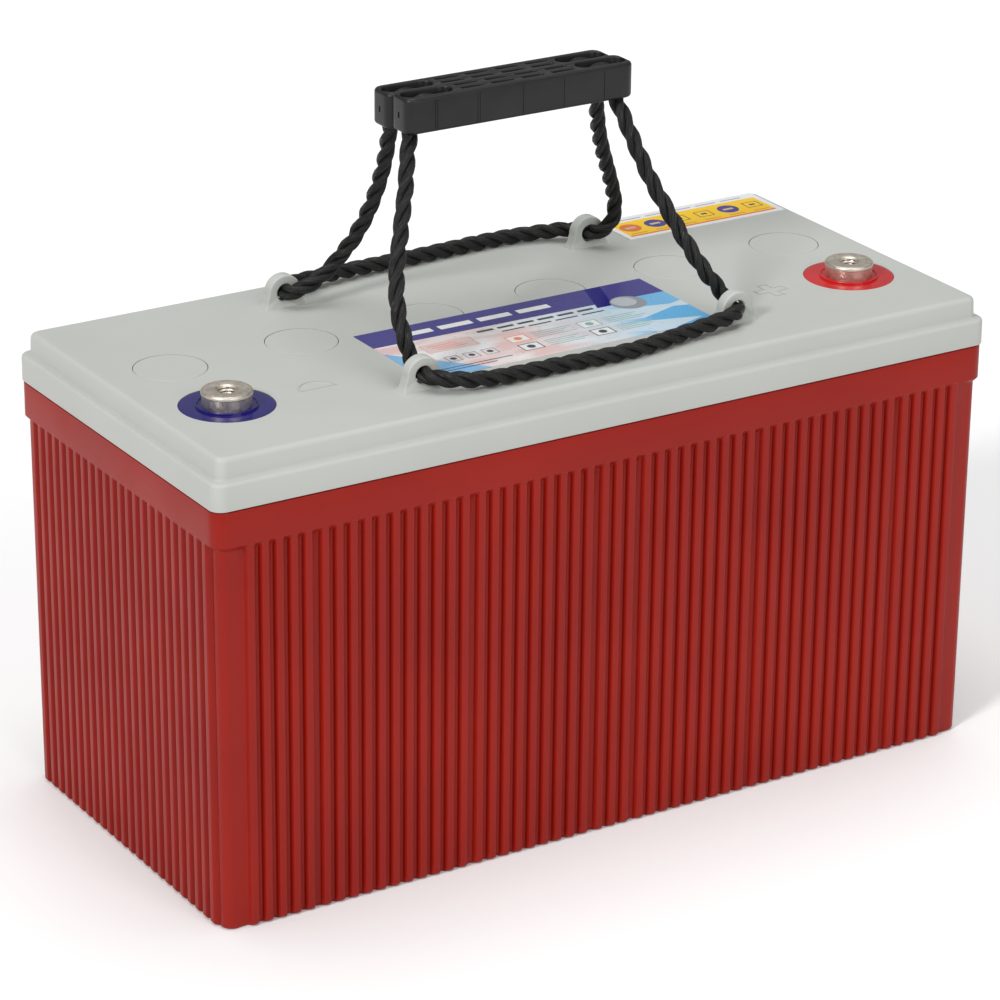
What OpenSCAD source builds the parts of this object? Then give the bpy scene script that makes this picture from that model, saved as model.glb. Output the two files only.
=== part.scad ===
// Sealed deep cycle battery: ribbed red case with six cells, grey lid with four moulded
// eyes, two threaded terminals and two rope carry handles. Millimetres, +Z up.
// Origin: centre of the underside of the case. X runs along the length, the front is -Y.

/* [Case] */
// Length over the smooth part of the walls
case_l = 336; // [320:1:350]
// Width over the smooth part of the walls
case_w = 154; // [148:1:160]
// Height of the case up to the seam with the lid
case_h = 166.5; // [160:0.5:172]
// Thickness of the outer walls
wall_t = 3; // [2.5:0.1:3.2]
// Thickness of the floor
floor_t = 3.5; // [3:0.1:5]
// Thickness of the walls between the cells
partition_t = 2.5; // [2:0.1:3]
// Radius of the upright corners
corner_r = 4; // [3:0.5:5]
// Height of the smooth band under the seam
rim_h = 15; // [12:0.5:20]
// How far the band stands out from the walls
rim_proud = 1.8; // [1.7:0.1:2.5]

/* [Ribs] */
// Width of a rib where it meets the wall
rib_w = 4.3; // [3.6:0.1:4.6]
// How far a rib stands out from the wall
rib_h = 1.6; // [1:0.1:1.6]
// Spacing of the ribs on the long walls
front_rib_pitch = 5.88; // [5.5:0.02:6]
// Wider spacing between two groups of ribs on the long walls
front_group_gap = 6.85; // [6:0.05:7]
// Spacing of the ribs on the short walls
side_rib_pitch = 5.97; // [5.5:0.01:6.1]
// Number of ribs on the short walls
side_ribs = 24; // [10:1:24]

/* [Lid] */
// Height of the lid's outer skirt
skirt_h = 10.4; // [8:0.1:12]
// How far the skirt stands out from the raised top
skirt_proud = 2.9; // [2:0.1:4]
// Total height of the lid above the seam
lid_h = 19; // [18:0.5:24]
// Length over the skirt
lid_l = 340; // [340:1:354]
// Width over the skirt
lid_w = 158; // [158:1:164]
// Thickness of the lid's top
lid_t = 4; // [3:0.5:5]

/* [Vents] */
// Radius of a vent cover disc
vent_r = 13.8; // [12:0.1:15]
// Distance of the row of vents behind the centre line
vent_y = 14; // [10:0.5:16]

/* [Terminals] */
// Radius of a terminal post
post_r = 9.5; // [8:0.1:10]
// How far a post stands above the lid
post_h = 6.2; // [5:0.1:8]
// Radius of the raised ring of the sealing disc round a post
collar_r = 11.6; // [11:0.1:12.5]
// Tapping drill radius of the M8 thread
thread_r = 3.4; // [3.4:0.05:3.5]
// Depth of the threaded hole
thread_depth = 15; // [12:0.5:16]
// Radius of the coloured sealing disc
seal_r = 17.9; // [16:0.1:18.5]
// Distance of the terminals in front of the centre line
terminal_y = 30; // [28:0.5:32]

/* [Rope eyes] */
// Distance of each eye from the centre along the length
eye_x = 69.5; // [60:0.5:72]
// Distance of the front eyes from the centre line
front_eye_y = 50.5; // [48:0.5:52]
// Distance of the rear eyes from the centre line
rear_eye_y = 53; // [52:0.5:55]
// Thickness of an eye
eye_t = 5; // [4:0.1:5.2]
// Radius of the round top of an eye
eye_r = 7; // [6.8:0.1:7.6]
// Width of an eye at its foot
eye_foot_w = 17; // [16:0.5:18]
// Height of the hole's centre above the lid
eye_hole_z = 5.7; // [5.4:0.1:6]
// Radius of the hole for the rope
eye_hole_r = 3.8; // [3.5:0.1:4.2]

/* [Handles] */
// Length of a grip
grip_l = 100; // [98:1:104]
// Width of a grip
grip_w = 13.6; // [12:0.1:13.8]
// Height of a grip
grip_h = 13.4; // [12:0.1:14]
// Height of the underside of the front grip above the lid
front_grip_z = 81.3; // [80:0.1:82]
// Height of the underside of the rear grip above the lid
rear_grip_z = 79.8; // [79:0.1:81]
// Distance of the front grip in front of the centre line
front_grip_y = 1.9; // [1.5:0.1:2.2]
// Distance of the rear grip behind the centre line
rear_grip_y = 12.1; // [11.9:0.1:12.8]
// Radius of the rope
rope_r = 3.2; // [3:0.1:3.4]

/* [Cells] */
// Number of positive plates in a cell
positive_plates = 5; // [3:1:5]
// Thickness of a positive plate
positive_t = 3.6; // [2.5:0.1:3.6]
// Thickness of a negative plate
negative_t = 2.6; // [2:0.1:2.6]
// Thickness of a glass mat
mat_t = 1.6; // [1:0.1:1.6]
// Width of a plate
plate_w = 140; // [120:1:142]
// Height of a plate
plate_h = 134; // [110:1:134]

/* [Hidden] */
$fn = 48;
CELLS = 6;
EPS = 0.01;

// Case and lid
lid_top = case_h + lid_h;
rim_l = case_l + 2 * rim_proud;
rim_w = case_w + 2 * rim_proud;
inner_l = case_l - 2 * wall_t;
inner_w = case_w - 2 * wall_t;
cell_l = (inner_l - (CELLS - 1) * partition_t) / CELLS;
cell_pitch = cell_l + partition_t;
lid_corner_r = 5;
front_groups = [5, 11, 9, 3, 9, 11, 5];
rib_top_share = 0.56;
tongue_h = 4;
groove_h = 6.5;
groove_gap = 0.25;
lid_wall_t = 2.5;
mark_h = 0.3;

// Vents
vent_disc_t = 1.6;
vent_gap = 0.25;
well_r = 8;
well_depth = 7;
chimney_r = 4.6;
chimney_h = 5.5;
chimney_bore_r = 2;
vent_boss_r = well_r + 2.5;
vent_boss_floor = 5;
valve_r = 6.2;
valve_t = 1.4;
valve_h = 4.5;

// Terminals
seal_t = 2;
seal_gap = 0.02;
collar_h = 0.8;
flange_r = 13;
flange_t = 0.8;
post_chamfer = 0.9;
thread_chamfer = 0.8;
terminal_drop = 13.5;
terminal_boss_r = 20;
ring_r = 1.2;
ring_drop = 10.3;
pillar_r = 7;
pillar_foot = 151;

// Labels
label_t = 0.25;
main_label_at = [0.5, -19];
main_label_size = [129, 54];
yellow_label_at = [126, 61.5];
yellow_label_size = [76, 25];

// Cells
mat_extra = 2;
plate_z = 6;
lug_w = 12;
lug_h = 7;
strap_w = 18;
strap_h = 7;
link_r = 3.4;
terminal_side = -1;

// Grips
grip_corner_r = 4;
rope_hole_x = 45.2;
tuck_hole_x = 31.2;
rope_hole_r = 3.7;
rope_bend_z = 2.6;
bridge_r = 3;
tuck_floor = 1.2;
leg_gap = 2;
slot_l = 9.5;
slot_w = 1.7;
slot_depth = 9;
slot_pitch = 13.3;
slot_row_y = 2.4;

// Hinge lines of the two handles: just above and inside the eyes
pivot_z = 202.5;
front_pivot_y = -44;
rear_pivot_y = 46.5;
joint_gap = 0.6;

// Routes of the two ropes, chosen by hand, each from its left eye to its right eye
front_left_leg = [[-72.2, front_pivot_y, pivot_z], [-72.4, -41.4, 206.6], [-71.4, -37, 213.3],
    [-69.2, -32.6, 219.9], [-66.2, -28.2, 226.6], [-62.6, -24, 233], [-58.4, -18.8, 240.7],
    [-54, -13.6, 248.8], [-50.6, -8.8, 256.3], [-47.2, -4.4, 262.2], [-45.3, -2.2, 264.9]];
front_right_leg = [[62, front_pivot_y, pivot_z], [60.2, -41.4, 206.3], [57.6, -37.4, 212.4],
    [55, -32.6, 219.8], [52.4, -27.6, 227.6], [49.9, -22.4, 235.4], [48.2, -16.8, 244],
    [46.8, -11.2, 252.6], [45.9, -6.6, 259.8], [45.4, -3.2, 263.6], [45.3, -2.2, 265]];
front_strand_route = [[-72.2, front_pivot_y, pivot_z], [-71.5, -43.8, 199.3], [-70.7, -44.4, 195.7],
    [-70, -46.3, 193], [-69.6, -49, 191.6], [-69.4, -52, 191.1], [-68.7, -55.1, 191], [-66.2, -58, 190.8],
    [-61.6, -60.9, 190.4], [-56, -62.8, 189.9], [-49.6, -63.8, 189.4], [-42, -63.9, 189],
    [-32, -63.8, 188.8], [-20, -63.7, 188.7], [-6, -64.3, 188.7], [7, -64.7, 188.7], [18, -63.9, 188.7],
    [28, -62.1, 188.8], [38, -60.3, 189], [48, -58.9, 189.5], [56, -57.9, 190], [62, -57.2, 190.5],
    [66.3, -56, 190.9], [68.9, -53.6, 191.1], [69.6, -50.5, 191.2], [69.3, -47.6, 192],
    [68.2, -45.2, 194.2], [66.2, -44, 197.8], [62, front_pivot_y, pivot_z]];
rear_left_leg = [[-49, rear_pivot_y, pivot_z], [-46.6, 44.2, 206.4], [-44.2, 40.6, 212.9],
    [-42.6, 36.4, 220.4], [-41.9, 31, 229.8], [-41.9, 26, 239], [-42.7, 21, 248], [-44, 16.8, 255.6],
    [-45.2, 13.6, 261.2], [-45.3, 12.3, 263.6]];
rear_right_leg = [[78.6, rear_pivot_y, pivot_z], [76.9, 44.6, 206], [73.6, 41.2, 212], [69.6, 37.4, 218.8],
    [65, 33.2, 226.2], [60, 28.6, 234.4], [55.2, 23.8, 243], [51.2, 19, 251.4], [48, 15.2, 258],
    [45.9, 12.9, 261.9], [45.3, 12.2, 263.8]];
rear_strand_route = [[-49, rear_pivot_y, pivot_z], [-51.5, 46.2, 199.6], [-56.4, 45.9, 196.8],
    [-62, 45.9, 194.1], [-66.6, 46.7, 192.5], [-69.1, 48.7, 191.6], [-69.7, 51.8, 191.2],
    [-69.3, 55.2, 191], [-67, 58.2, 190.9], [-62.6, 60.3, 190.7], [-53.6, 62, 190.3], [-42, 63.9, 189.8],
    [-30, 65.5, 189.4], [-16, 66.6, 189], [-2, 67.5, 188.8], [12, 68.6, 188.7], [26, 69.4, 188.7],
    [38, 69.8, 188.7], [48, 68.7, 188.9], [56, 66.5, 189.3], [62.4, 63.7, 189.9], [67, 60.8, 190.5],
    [69.4, 57.6, 190.9], [69.9, 54.2, 191.1], [69.8, 51, 191.3], [70.5, 48.4, 191.8], [72.3, 46.5, 192.9],
    [75, 45.6, 194.5], [77.3, 45.8, 196.9], [78.6, rear_pivot_y, pivot_z]];
leg_rings = 7;
strand_rings = 21;
rope_sides = 10;

// Node names
cell_numbers = [1 : CELLS];
function numbered(name) = [for (i = cell_numbers) str(name, "_", i)];

// ---- Outlines ----

module rounded_rect(l, w, r) {
    x = l / 2 - r;
    y = w / 2 - r;
    square([l, w - 2 * r], center = true);
    square([l - 2 * r, w], center = true);
    for (sx = [-1, 1])
        for (sy = [-1, 1])
            translate([sx * x, sy * y])
                circle(r);
}

module rounded_block(l, w, r, z0, z1) {
    translate([0, 0, z0])
        linear_extrude(z1 - z0)
            rounded_rect(l, w, r);
}

function cell_x(i) = (i - (CELLS + 1) / 2) * cell_pitch;

// ---- Ribs ----

function running_sum(steps, i = 0, at = 0) =
    i == len(steps) ? [at] : concat([at], running_sum(steps, i + 1, at + steps[i]));

// Steps from each rib to the next: the pitch, or the wider gap at the end of a group
function front_steps() = [
    for (g = [0 : len(front_groups) - 1])
        for (k = [1 : front_groups[g]])
            if (g < len(front_groups) - 1 || k < front_groups[g])
                k < front_groups[g] ? front_rib_pitch : front_group_gap
];

function centred(places) = [for (p = places) p - places[len(places) - 1] / 2];

front_rib_places = centred(running_sum(front_steps()));
side_rib_places = centred([for (i = [0 : side_ribs - 1]) i * side_rib_pitch]);

module rib_row(places, wall_at) {
    for (p = places)
        translate([p, -wall_at])
            polygon([[-rib_w / 2, EPS], [rib_w / 2, EPS], [rib_w / 2, 0],
                [rib_w * rib_top_share / 2, -rib_h], [-rib_w * rib_top_share / 2, -rib_h], [-rib_w / 2, 0]]);
}

module rib_outline() {
    for (turn = [0, 180]) {
        rotate(turn)
            rib_row(front_rib_places, case_w / 2);
        rotate(turn + 90)
            rib_row(side_rib_places, case_l / 2);
    }
}

// ---- Case and lid ----

// Holes through the partitions for the links between cells
module link_holes() {
    for (i = [1 : CELLS - 1])
        translate([cell_x(i) + cell_pitch / 2, link_y(i), pillar_foot - strap_h / 2])
            rotate([0, 90, 0])
                cylinder(r = link_r, h = partition_t + 2 * EPS, center = true);
}

module case() {
    color("firebrick")
        difference() {
            union() {
                linear_extrude(case_h - rim_h + EPS)
                    union() {
                        rounded_rect(case_l, case_w, corner_r);
                        rib_outline();
                    }
                rounded_block(rim_l, rim_w, corner_r + 1, case_h - rim_h, case_h);
                rounded_block(case_l, case_w, corner_r, case_h - EPS, case_h + tongue_h);
            }
            for (i = cell_numbers)
                translate([cell_x(i), 0, 0])
                    rounded_block(cell_l, inner_w, 1, floor_t, case_h + tongue_h + EPS);
            translate([0, 0, case_h + tongue_h])
                cube([inner_l - 2, inner_w, 2 * tongue_h], center = true);
            link_holes();
        }
}

// Strip between the tongue's two faces, widened by a gap on each side
module ring_outline(gap) {
    difference() {
        rounded_rect(case_l + 2 * gap, case_w + 2 * gap, corner_r + gap);
        rounded_rect(inner_l - 2 * gap, inner_w - 2 * gap, 1);
    }
}

// Eye for the rope: a flat arch with sloping legs, cut off at the lid, and a round hole along Y
module rope_eye() {
    foot = eye_foot_w / 2;
    rotate([90, 0, 0])
        linear_extrude(eye_t, center = true)
            difference() {
                union() {
                    translate([0, eye_hole_z])
                        circle(eye_r);
                    polygon([[-foot, 0], [foot, 0], [eye_r, eye_hole_z], [-eye_r, eye_hole_z]]);
                }
                translate([0, eye_hole_z])
                    circle(eye_hole_r);
                translate([-foot, -eye_foot_w])
                    square(eye_foot_w);
            }
}

module rope_eyes() {
    color("lightgray")
        for (sx = [-1, 1])
            for (y = [-front_eye_y, rear_eye_y])
                translate([sx * eye_x, y, lid_top])
                    rope_eye();
}

// Raised plus and minus signs beside the terminals
module polarity_marks() {
    bar_l = 11;
    bar_w = 1.6;
    mark_x = 102;
    for (turn = [0, 90])
        translate([mark_x, -terminal_y, lid_top + mark_h / 2])
            rotate(turn)
                cube([bar_l, bar_w, mark_h + EPS], center = true);
    translate([-mark_x, -terminal_y, lid_top + mark_h / 2])
        cube([bar_l, bar_w, mark_h + EPS], center = true);
}

module lid() {
    hollow_top = lid_top - lid_t;
    color("lightgray")
        difference() {
            union() {
                difference() {
                    union() {
                        rounded_block(lid_l, lid_w, lid_corner_r, case_h, case_h + skirt_h);
                        rounded_block(lid_l - 2 * skirt_proud, lid_w - 2 * skirt_proud, lid_corner_r,
                            case_h + skirt_h - EPS, lid_top);
                    }
                    for (i = cell_numbers)
                        translate([cell_x(i), 0, 0])
                            rounded_block(cell_l - 2 * lid_wall_t, inner_w - 2 * lid_wall_t, 2,
                                case_h - 1, hollow_top);
                    translate([0, 0, case_h - EPS])
                        linear_extrude(groove_h)
                            ring_outline(groove_gap);
                }
                for (i = cell_numbers)
                    translate([cell_x(i), vent_y, lid_top - vent_disc_t - well_depth - vent_boss_floor])
                        cylinder(r = vent_boss_r, h = well_depth + vent_boss_floor);
                for (s = [-1, 1])
                    translate([s * cell_x(CELLS), -terminal_y, lid_top - terminal_drop])
                        cylinder(r = terminal_boss_r, h = terminal_drop - EPS);
                polarity_marks();
            }
            for (i = cell_numbers)
                translate([cell_x(i), vent_y, lid_top])
                    vent_well();
            for (s = [-1, 1])
                translate([s * cell_x(CELLS), -terminal_y, lid_top])
                    terminal_socket();
        }
}

// Recess for a vent cover, with a ring-shaped well round the valve's chimney
module vent_well() {
    translate([0, 0, -vent_disc_t])
        cylinder(r = vent_r + vent_gap, h = vent_disc_t + 1);
    translate([0, 0, -vent_disc_t - well_depth])
        difference() {
            cylinder(r = well_r, h = well_depth + EPS);
            translate([0, 0, -1])
                cylinder(r = chimney_r, h = chimney_h + 1);
        }
    translate([0, 0, -vent_disc_t - well_depth - vent_boss_floor - 1])
        cylinder(r = chimney_bore_r, h = vent_boss_floor + chimney_h + 2);
}

// Stepped hole for a terminal: seat of the sealing disc, bore for the post and groove for the O-ring
module terminal_socket() {
    translate([0, 0, -seal_t])
        cylinder(r = seal_r, h = seal_t + 1);
    translate([0, 0, -terminal_drop - 1])
        cylinder(r = post_r + 0.1, h = terminal_drop + 1);
    translate([0, 0, -ring_drop - ring_r - 0.05])
        cylinder(r = post_r + 2 * ring_r + 0.05, h = 2 * ring_r + 0.1);
}

module lid_sealant() {
    color("dimgray")
        translate([0, 0, case_h + tongue_h])
            linear_extrude(groove_h - tongue_h - EPS)
                ring_outline(groove_gap);
}

// ---- Vents ----

module vent_cover(i) {
    color("gainsboro")
        translate([cell_x(i), vent_y, lid_top - vent_disc_t])
            cylinder(r = vent_r, h = vent_disc_t);
}

// Rubber cap that lifts off its chimney to let gas out
module vent_valve(i) {
    edge = 0.6;
    bore = chimney_r + 0.02;
    color("black")
        translate([cell_x(i), vent_y, lid_top - vent_disc_t - well_depth + chimney_h])
            rotate_extrude()
                polygon([[0, 0], [bore, 0], [bore, valve_t - valve_h], [valve_r, valve_t - valve_h],
                    [valve_r, valve_t - edge], [valve_r - edge, valve_t], [0, valve_t]]);
}

// ---- Terminals ----

// Post with a threaded hole and a flange that the sealing disc holds down
module terminal() {
    rotate_extrude()
        polygon([[thread_r, post_h - thread_chamfer], [thread_r + thread_chamfer, post_h],
            [post_r - post_chamfer, post_h], [post_r, post_h - post_chamfer],
            [post_r, flange_t - seal_t], [flange_r, flange_t - seal_t], [flange_r, -seal_t],
            [post_r, -seal_t], [post_r, -terminal_drop], [0, -terminal_drop],
            [0, post_h - thread_depth], [thread_r, post_h - thread_depth]]);
}

module at_terminal(s) {
    translate([s * cell_x(CELLS), -terminal_y, lid_top])
        children();
}

module negative_terminal() {
    color("silver")
        at_terminal(-1)
            terminal();
}

module positive_terminal() {
    color("silver")
        at_terminal(1)
            terminal();
}

// Disc of coloured resin, level with the lid, with a raised ring round the post
module seal_disc() {
    inner = post_r + seal_gap;
    outer = seal_r - seal_gap;
    low = seal_gap - seal_t;
    step = low + flange_t;
    rotate_extrude()
        polygon([[flange_r + seal_gap, low], [outer, low], [outer, 0], [collar_r, 0],
            [collar_r, collar_h], [inner, collar_h], [inner, step], [flange_r + seal_gap, step]]);
}

module negative_seal_disc() {
    color("midnightblue")
        at_terminal(-1)
            seal_disc();
}

module positive_seal_disc() {
    color("crimson")
        at_terminal(1)
            seal_disc();
}

module o_ring() {
    translate([0, 0, -ring_drop])
        rotate_extrude()
            translate([post_r + ring_r + 0.02, 0])
                circle(ring_r);
}

module negative_o_ring() {
    color("black")
        at_terminal(-1)
            o_ring();
}

module positive_o_ring() {
    color("black")
        at_terminal(1)
            o_ring();
}

module pillar() {
    translate([0, 0, pillar_foot - lid_top])
        cylinder(r = pillar_r, h = lid_top - terminal_drop - pillar_foot);
}

module negative_pillar() {
    color("slategray")
        at_terminal(-1)
            pillar();
}

module positive_pillar() {
    color("slategray")
        at_terminal(1)
            pillar();
}

// ---- Cells ----

negative_plate_count = positive_plates + 1;
stack_l = positive_plates * positive_t + negative_plate_count * negative_t + 2 * positive_plates * mat_t;
plate_pitch = positive_t + negative_t + 2 * mat_t;

// The straps change sides from cell to cell, so that each positive strap faces the next negative one
function negative_side(i) = i % 2 == 1 ? terminal_side : -terminal_side;
function link_y(i) = -negative_side(i) * terminal_y;

// Plates of one polarity, joined by their lugs to one cast strap
module plate_group(i, places, thickness, side) {
    translate([cell_x(i), 0, 0]) {
        for (x = places)
            translate([x, 0, 0]) {
                translate([-thickness / 2, -plate_w / 2, plate_z])
                    cube([thickness, plate_w, plate_h]);
                translate([-thickness / 2, side * terminal_y - lug_w / 2, plate_z + plate_h - EPS])
                    cube([thickness, lug_w, lug_h]);
            }
        translate([-cell_l / 2, side * terminal_y - strap_w / 2, pillar_foot - strap_h])
            cube([cell_l, strap_w, strap_h]);
    }
}

first_negative = (negative_t - stack_l) / 2;
first_positive = negative_t + mat_t + (positive_t - stack_l) / 2;

function negative_places() = [for (k = [0 : negative_plate_count - 1]) first_negative + k * plate_pitch];
function positive_places() = [for (k = [0 : positive_plates - 1]) first_positive + k * plate_pitch];

module positive_plates(i) {
    color("saddlebrown")
        plate_group(i, positive_places(), positive_t, -negative_side(i));
}

module negative_plates(i) {
    color("gray")
        plate_group(i, negative_places(), negative_t, negative_side(i));
}

module glass_mats(i) {
    mat_w = plate_w + 2 * mat_extra;
    mat_h = plate_h + mat_extra;
    color("white")
        for (x = negative_places())
            for (s = [-1, 1])
                if (abs(x + s * negative_t) < stack_l / 2)
                    translate([cell_x(i) + x + s * (negative_t + mat_t) / 2, 0, plate_z - 1 + mat_h / 2])
                        cube([mat_t, mat_w, mat_h], center = true);
}

module cell_links() {
    color("slategray")
        for (i = [1 : CELLS - 1])
            translate([cell_x(i) + cell_pitch / 2, link_y(i), pillar_foot - strap_h / 2])
                rotate([0, 90, 0])
                    cylinder(r = link_r - EPS, h = partition_t, center = true);
}

// ---- Labels ----

module label(centre, size) {
    translate([centre[0], centre[1], lid_top + label_t / 2])
        cube([size[0], size[1], label_t], center = true);
}

module main_label() {
    color("lightblue")
        label(main_label_at, main_label_size);
}

module yellow_label() {
    color("gold")
        label(yellow_label_at, yellow_label_size);
}

// ---- Grips ----

// At each end the rope comes up one hole, bends over a round bridge and tucks into the next
module grip() {
    hole_apart = rope_hole_x - tuck_hole_x;
    difference() {
        rounded_block(grip_l, grip_w, grip_corner_r, 0, grip_h);
        for (s = [-1, 1]) {
            translate([s * (rope_hole_x + tuck_hole_x) / 2, 0, 0])
                rounded_block(hole_apart + 2 * rope_hole_r, 2 * rope_hole_r, rope_hole_r - EPS,
                    rope_bend_z, grip_h + 1);
            translate([s * rope_hole_x, 0, -1])
                cylinder(r = rope_hole_r, h = rope_bend_z + 2);
            translate([s * tuck_hole_x, 0, tuck_floor])
                cylinder(r = rope_hole_r, h = rope_bend_z);
        }
        for (k = [-1.5 : 1.5])
            for (row = [-1, 1])
                translate([k * slot_pitch, row * slot_row_y, grip_h - slot_depth / 2 + EPS])
                    cube([slot_l, slot_w, slot_depth], center = true);
    }
    for (s = [-1, 1])
        translate([s * (rope_hole_x + tuck_hole_x) / 2, 0, rope_bend_z])
            rotate([90, 0, 0])
                cylinder(r = bridge_r, h = 2 * rope_hole_r + 1, center = true);
}

module front_grip() {
    color("darkslategray")
        translate([0, -front_grip_y, lid_top + front_grip_z])
            grip();
}

module rear_grip() {
    color("darkslategray")
        translate([0, rear_grip_y, lid_top + rear_grip_z])
            grip();
}

// ---- Ropes ----

function unit(v) = v / norm(v);

// Smooth curve through the route's points: segment k at share t, with end points repeated
function clamp_at(p, k) = p[max(0, min(len(p) - 1, k))];
function cubic(a, b, c, d, t) =
    b + 0.5 * t * (c - a + t * (2 * a - 5 * b + 4 * c - d + t * (3 * b - a - 3 * c + d)));
function smooth_point(p, k, t) =
    cubic(clamp_at(p, k - 1), clamp_at(p, k), clamp_at(p, k + 1), clamp_at(p, k + 2), t);
function smooth_at(p, u) =
    let (s = u * (len(p) - 1), k = min(floor(s), len(p) - 2)) smooth_point(p, k, s - k);

// Moves an end point back along its route, to leave a gap before the hinge line
function cut_end(p, last, gap) =
    let (n = len(p), i = last ? n - 1 : 0, j = last ? n - 2 : 1)
        [for (k = [0 : n - 1]) k == i ? p[i] + gap * unit(p[j] - p[i]) : p[k]];

// Rings of the tube: [centre, radius], with a round start where one is asked for
function rings_along(p, count) = [for (i = [0 : count - 1]) smooth_at(p, i / (count - 1))];
function round_start(p) = let (back = unit(p[0] - p[1]))
    [for (a = [65, 35]) [p[0] + back * rope_r * sin(a), rope_r * cos(a)]];

// Tube swept along a route's rings; its side axes are carried along without twist
module rope_tube(centres, start = []) {
    rings = concat(start, [for (c = centres) [c, rope_r]]);
    count = len(rings);
    runs = [for (i = [0 : count - 1]) unit(clamp_at(rings, i + 1)[0] - clamp_at(rings, i - 1)[0])];
    sides = carried_sides(runs);
    points = [for (i = [0 : count - 1])
        let (side = sides[i], rise = cross(runs[i], side))
            for (k = [0 : rope_sides - 1])
                let (a = 360 * k / rope_sides)
                    rings[i][0] + rings[i][1] * (side * cos(a) + rise * sin(a))];
    walls = [for (i = [0 : count - 2])
        for (k = [0 : rope_sides - 1])
            let (a = i * rope_sides + k, b = i * rope_sides + (k + 1) % rope_sides)
                [a, a + rope_sides, b + rope_sides, b]];
    first_cap = [for (k = [0 : rope_sides - 1]) k];
    last_cap = [for (k = [0 : rope_sides - 1]) count * rope_sides - 1 - k];
    polyhedron(points, concat(walls, [first_cap, last_cap]), convexity = 6);
}

// Side axes carried from ring to ring without twist
function first_side(run) = unit(cross(run, abs(run[2]) > 0.9 ? [0, 1, 0] : [0, 0, 1]));
function next_side(side, run) = unit(side - run * (side * run));
function carried_sides(runs, i = 0, side = undef) =
    i == len(runs) ? [] :
    let (now = i == 0 ? first_side(runs[0]) : next_side(side, runs[i]))
        concat([now], carried_sides(runs, i + 1, now));

// A leg has a round end on the hinge line, so that it turns close to the end of the strand
module rope_leg(p) {
    centres = rings_along(p, leg_rings);
    color("black")
        rope_tube(centres, round_start(centres));
}

module rope_strand(p) {
    gap = rope_r + joint_gap;
    color("black")
        rope_tube(rings_along(cut_end(cut_end(p, false, gap), true, gap), strand_rings));
}

// Rope held by a grip: up one hole, over the bridge and down the next
module rope_ends(grip_y, z) {
    bend_r = (rope_hole_x - tuck_hole_x) / 2;
    held_r = rope_r - 0.1;
    color("black")
        for (s = [-1, 1])
            translate([s * rope_hole_x, grip_y, z]) {
                translate([0, 0, -leg_gap])
                    cylinder(r = held_r, h = rope_bend_z + leg_gap);
                translate([-s * bend_r, 0, rope_bend_z])
                    rotate([90, 0, 0])
                        rotate_extrude(angle = 180)
                            translate([bend_r, 0])
                                circle(held_r);
                translate([-s * 2 * bend_r, 0, tuck_floor])
                    cylinder(r = held_r, h = rope_bend_z - tuck_floor);
            }
}

module front_rope_strand() {
    rope_strand(front_strand_route);
}

module front_rope_left_leg() {
    rope_leg(front_left_leg);
}

module front_rope_right_leg() {
    rope_leg(front_right_leg);
}

module front_rope_ends() {
    rope_ends(-front_grip_y, lid_top + front_grip_z);
}

module rear_rope_strand() {
    rope_strand(rear_strand_route);
}

module rear_rope_left_leg() {
    rope_leg(rear_left_leg);
}

module rear_rope_right_leg() {
    rope_leg(rear_right_leg);
}

module rear_rope_ends() {
    rope_ends(rear_grip_y, lid_top + rear_grip_z);
}

// ---- Assembly ----

case();
lid();
rope_eyes();
lid_sealant();
negative_terminal();
positive_terminal();
negative_seal_disc();
positive_seal_disc();
negative_o_ring();
positive_o_ring();
negative_pillar();
positive_pillar();
cell_links();
main_label();
yellow_label();
front_grip();
rear_grip();
front_rope_strand();
front_rope_left_leg();
front_rope_right_leg();
front_rope_ends();
rear_rope_strand();
rear_rope_left_leg();
rear_rope_right_leg();
rear_rope_ends();
for (i = cell_numbers) {
    vent_cover(i);
    vent_valve(i);
    positive_plates(i);
    negative_plates(i);
    glass_mats(i);
}
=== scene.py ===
import math

import bpy
from mathutils import Matrix, Vector


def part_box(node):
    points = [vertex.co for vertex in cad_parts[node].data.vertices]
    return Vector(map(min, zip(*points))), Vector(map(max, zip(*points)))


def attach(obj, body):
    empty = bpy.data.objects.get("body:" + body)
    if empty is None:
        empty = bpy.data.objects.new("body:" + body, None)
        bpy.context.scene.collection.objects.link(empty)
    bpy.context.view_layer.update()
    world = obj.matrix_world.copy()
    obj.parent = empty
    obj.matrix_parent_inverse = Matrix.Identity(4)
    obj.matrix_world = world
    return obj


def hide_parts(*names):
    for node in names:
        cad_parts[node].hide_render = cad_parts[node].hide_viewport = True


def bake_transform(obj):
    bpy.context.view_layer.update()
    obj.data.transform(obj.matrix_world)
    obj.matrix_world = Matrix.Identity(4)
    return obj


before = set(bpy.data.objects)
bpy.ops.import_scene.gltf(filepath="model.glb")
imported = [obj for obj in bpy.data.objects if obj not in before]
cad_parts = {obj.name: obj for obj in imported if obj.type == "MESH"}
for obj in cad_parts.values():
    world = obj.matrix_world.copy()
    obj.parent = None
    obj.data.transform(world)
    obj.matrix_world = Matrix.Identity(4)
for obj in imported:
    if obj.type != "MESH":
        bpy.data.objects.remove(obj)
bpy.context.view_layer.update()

MM = 0.001

# Heights and half sizes that everything below is placed by
CASE_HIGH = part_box("case")[1]
LID_LOW, LID_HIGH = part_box("lid")
SEAM_Z = LID_LOW.z
LID_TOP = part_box("vent_cover_1")[1].z
LID_X, LID_Y = LID_HIGH.x, LID_HIGH.y
RIM_X, RIM_Y = CASE_HIGH.x, CASE_HIGH.y

# ---- Camera ----

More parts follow.
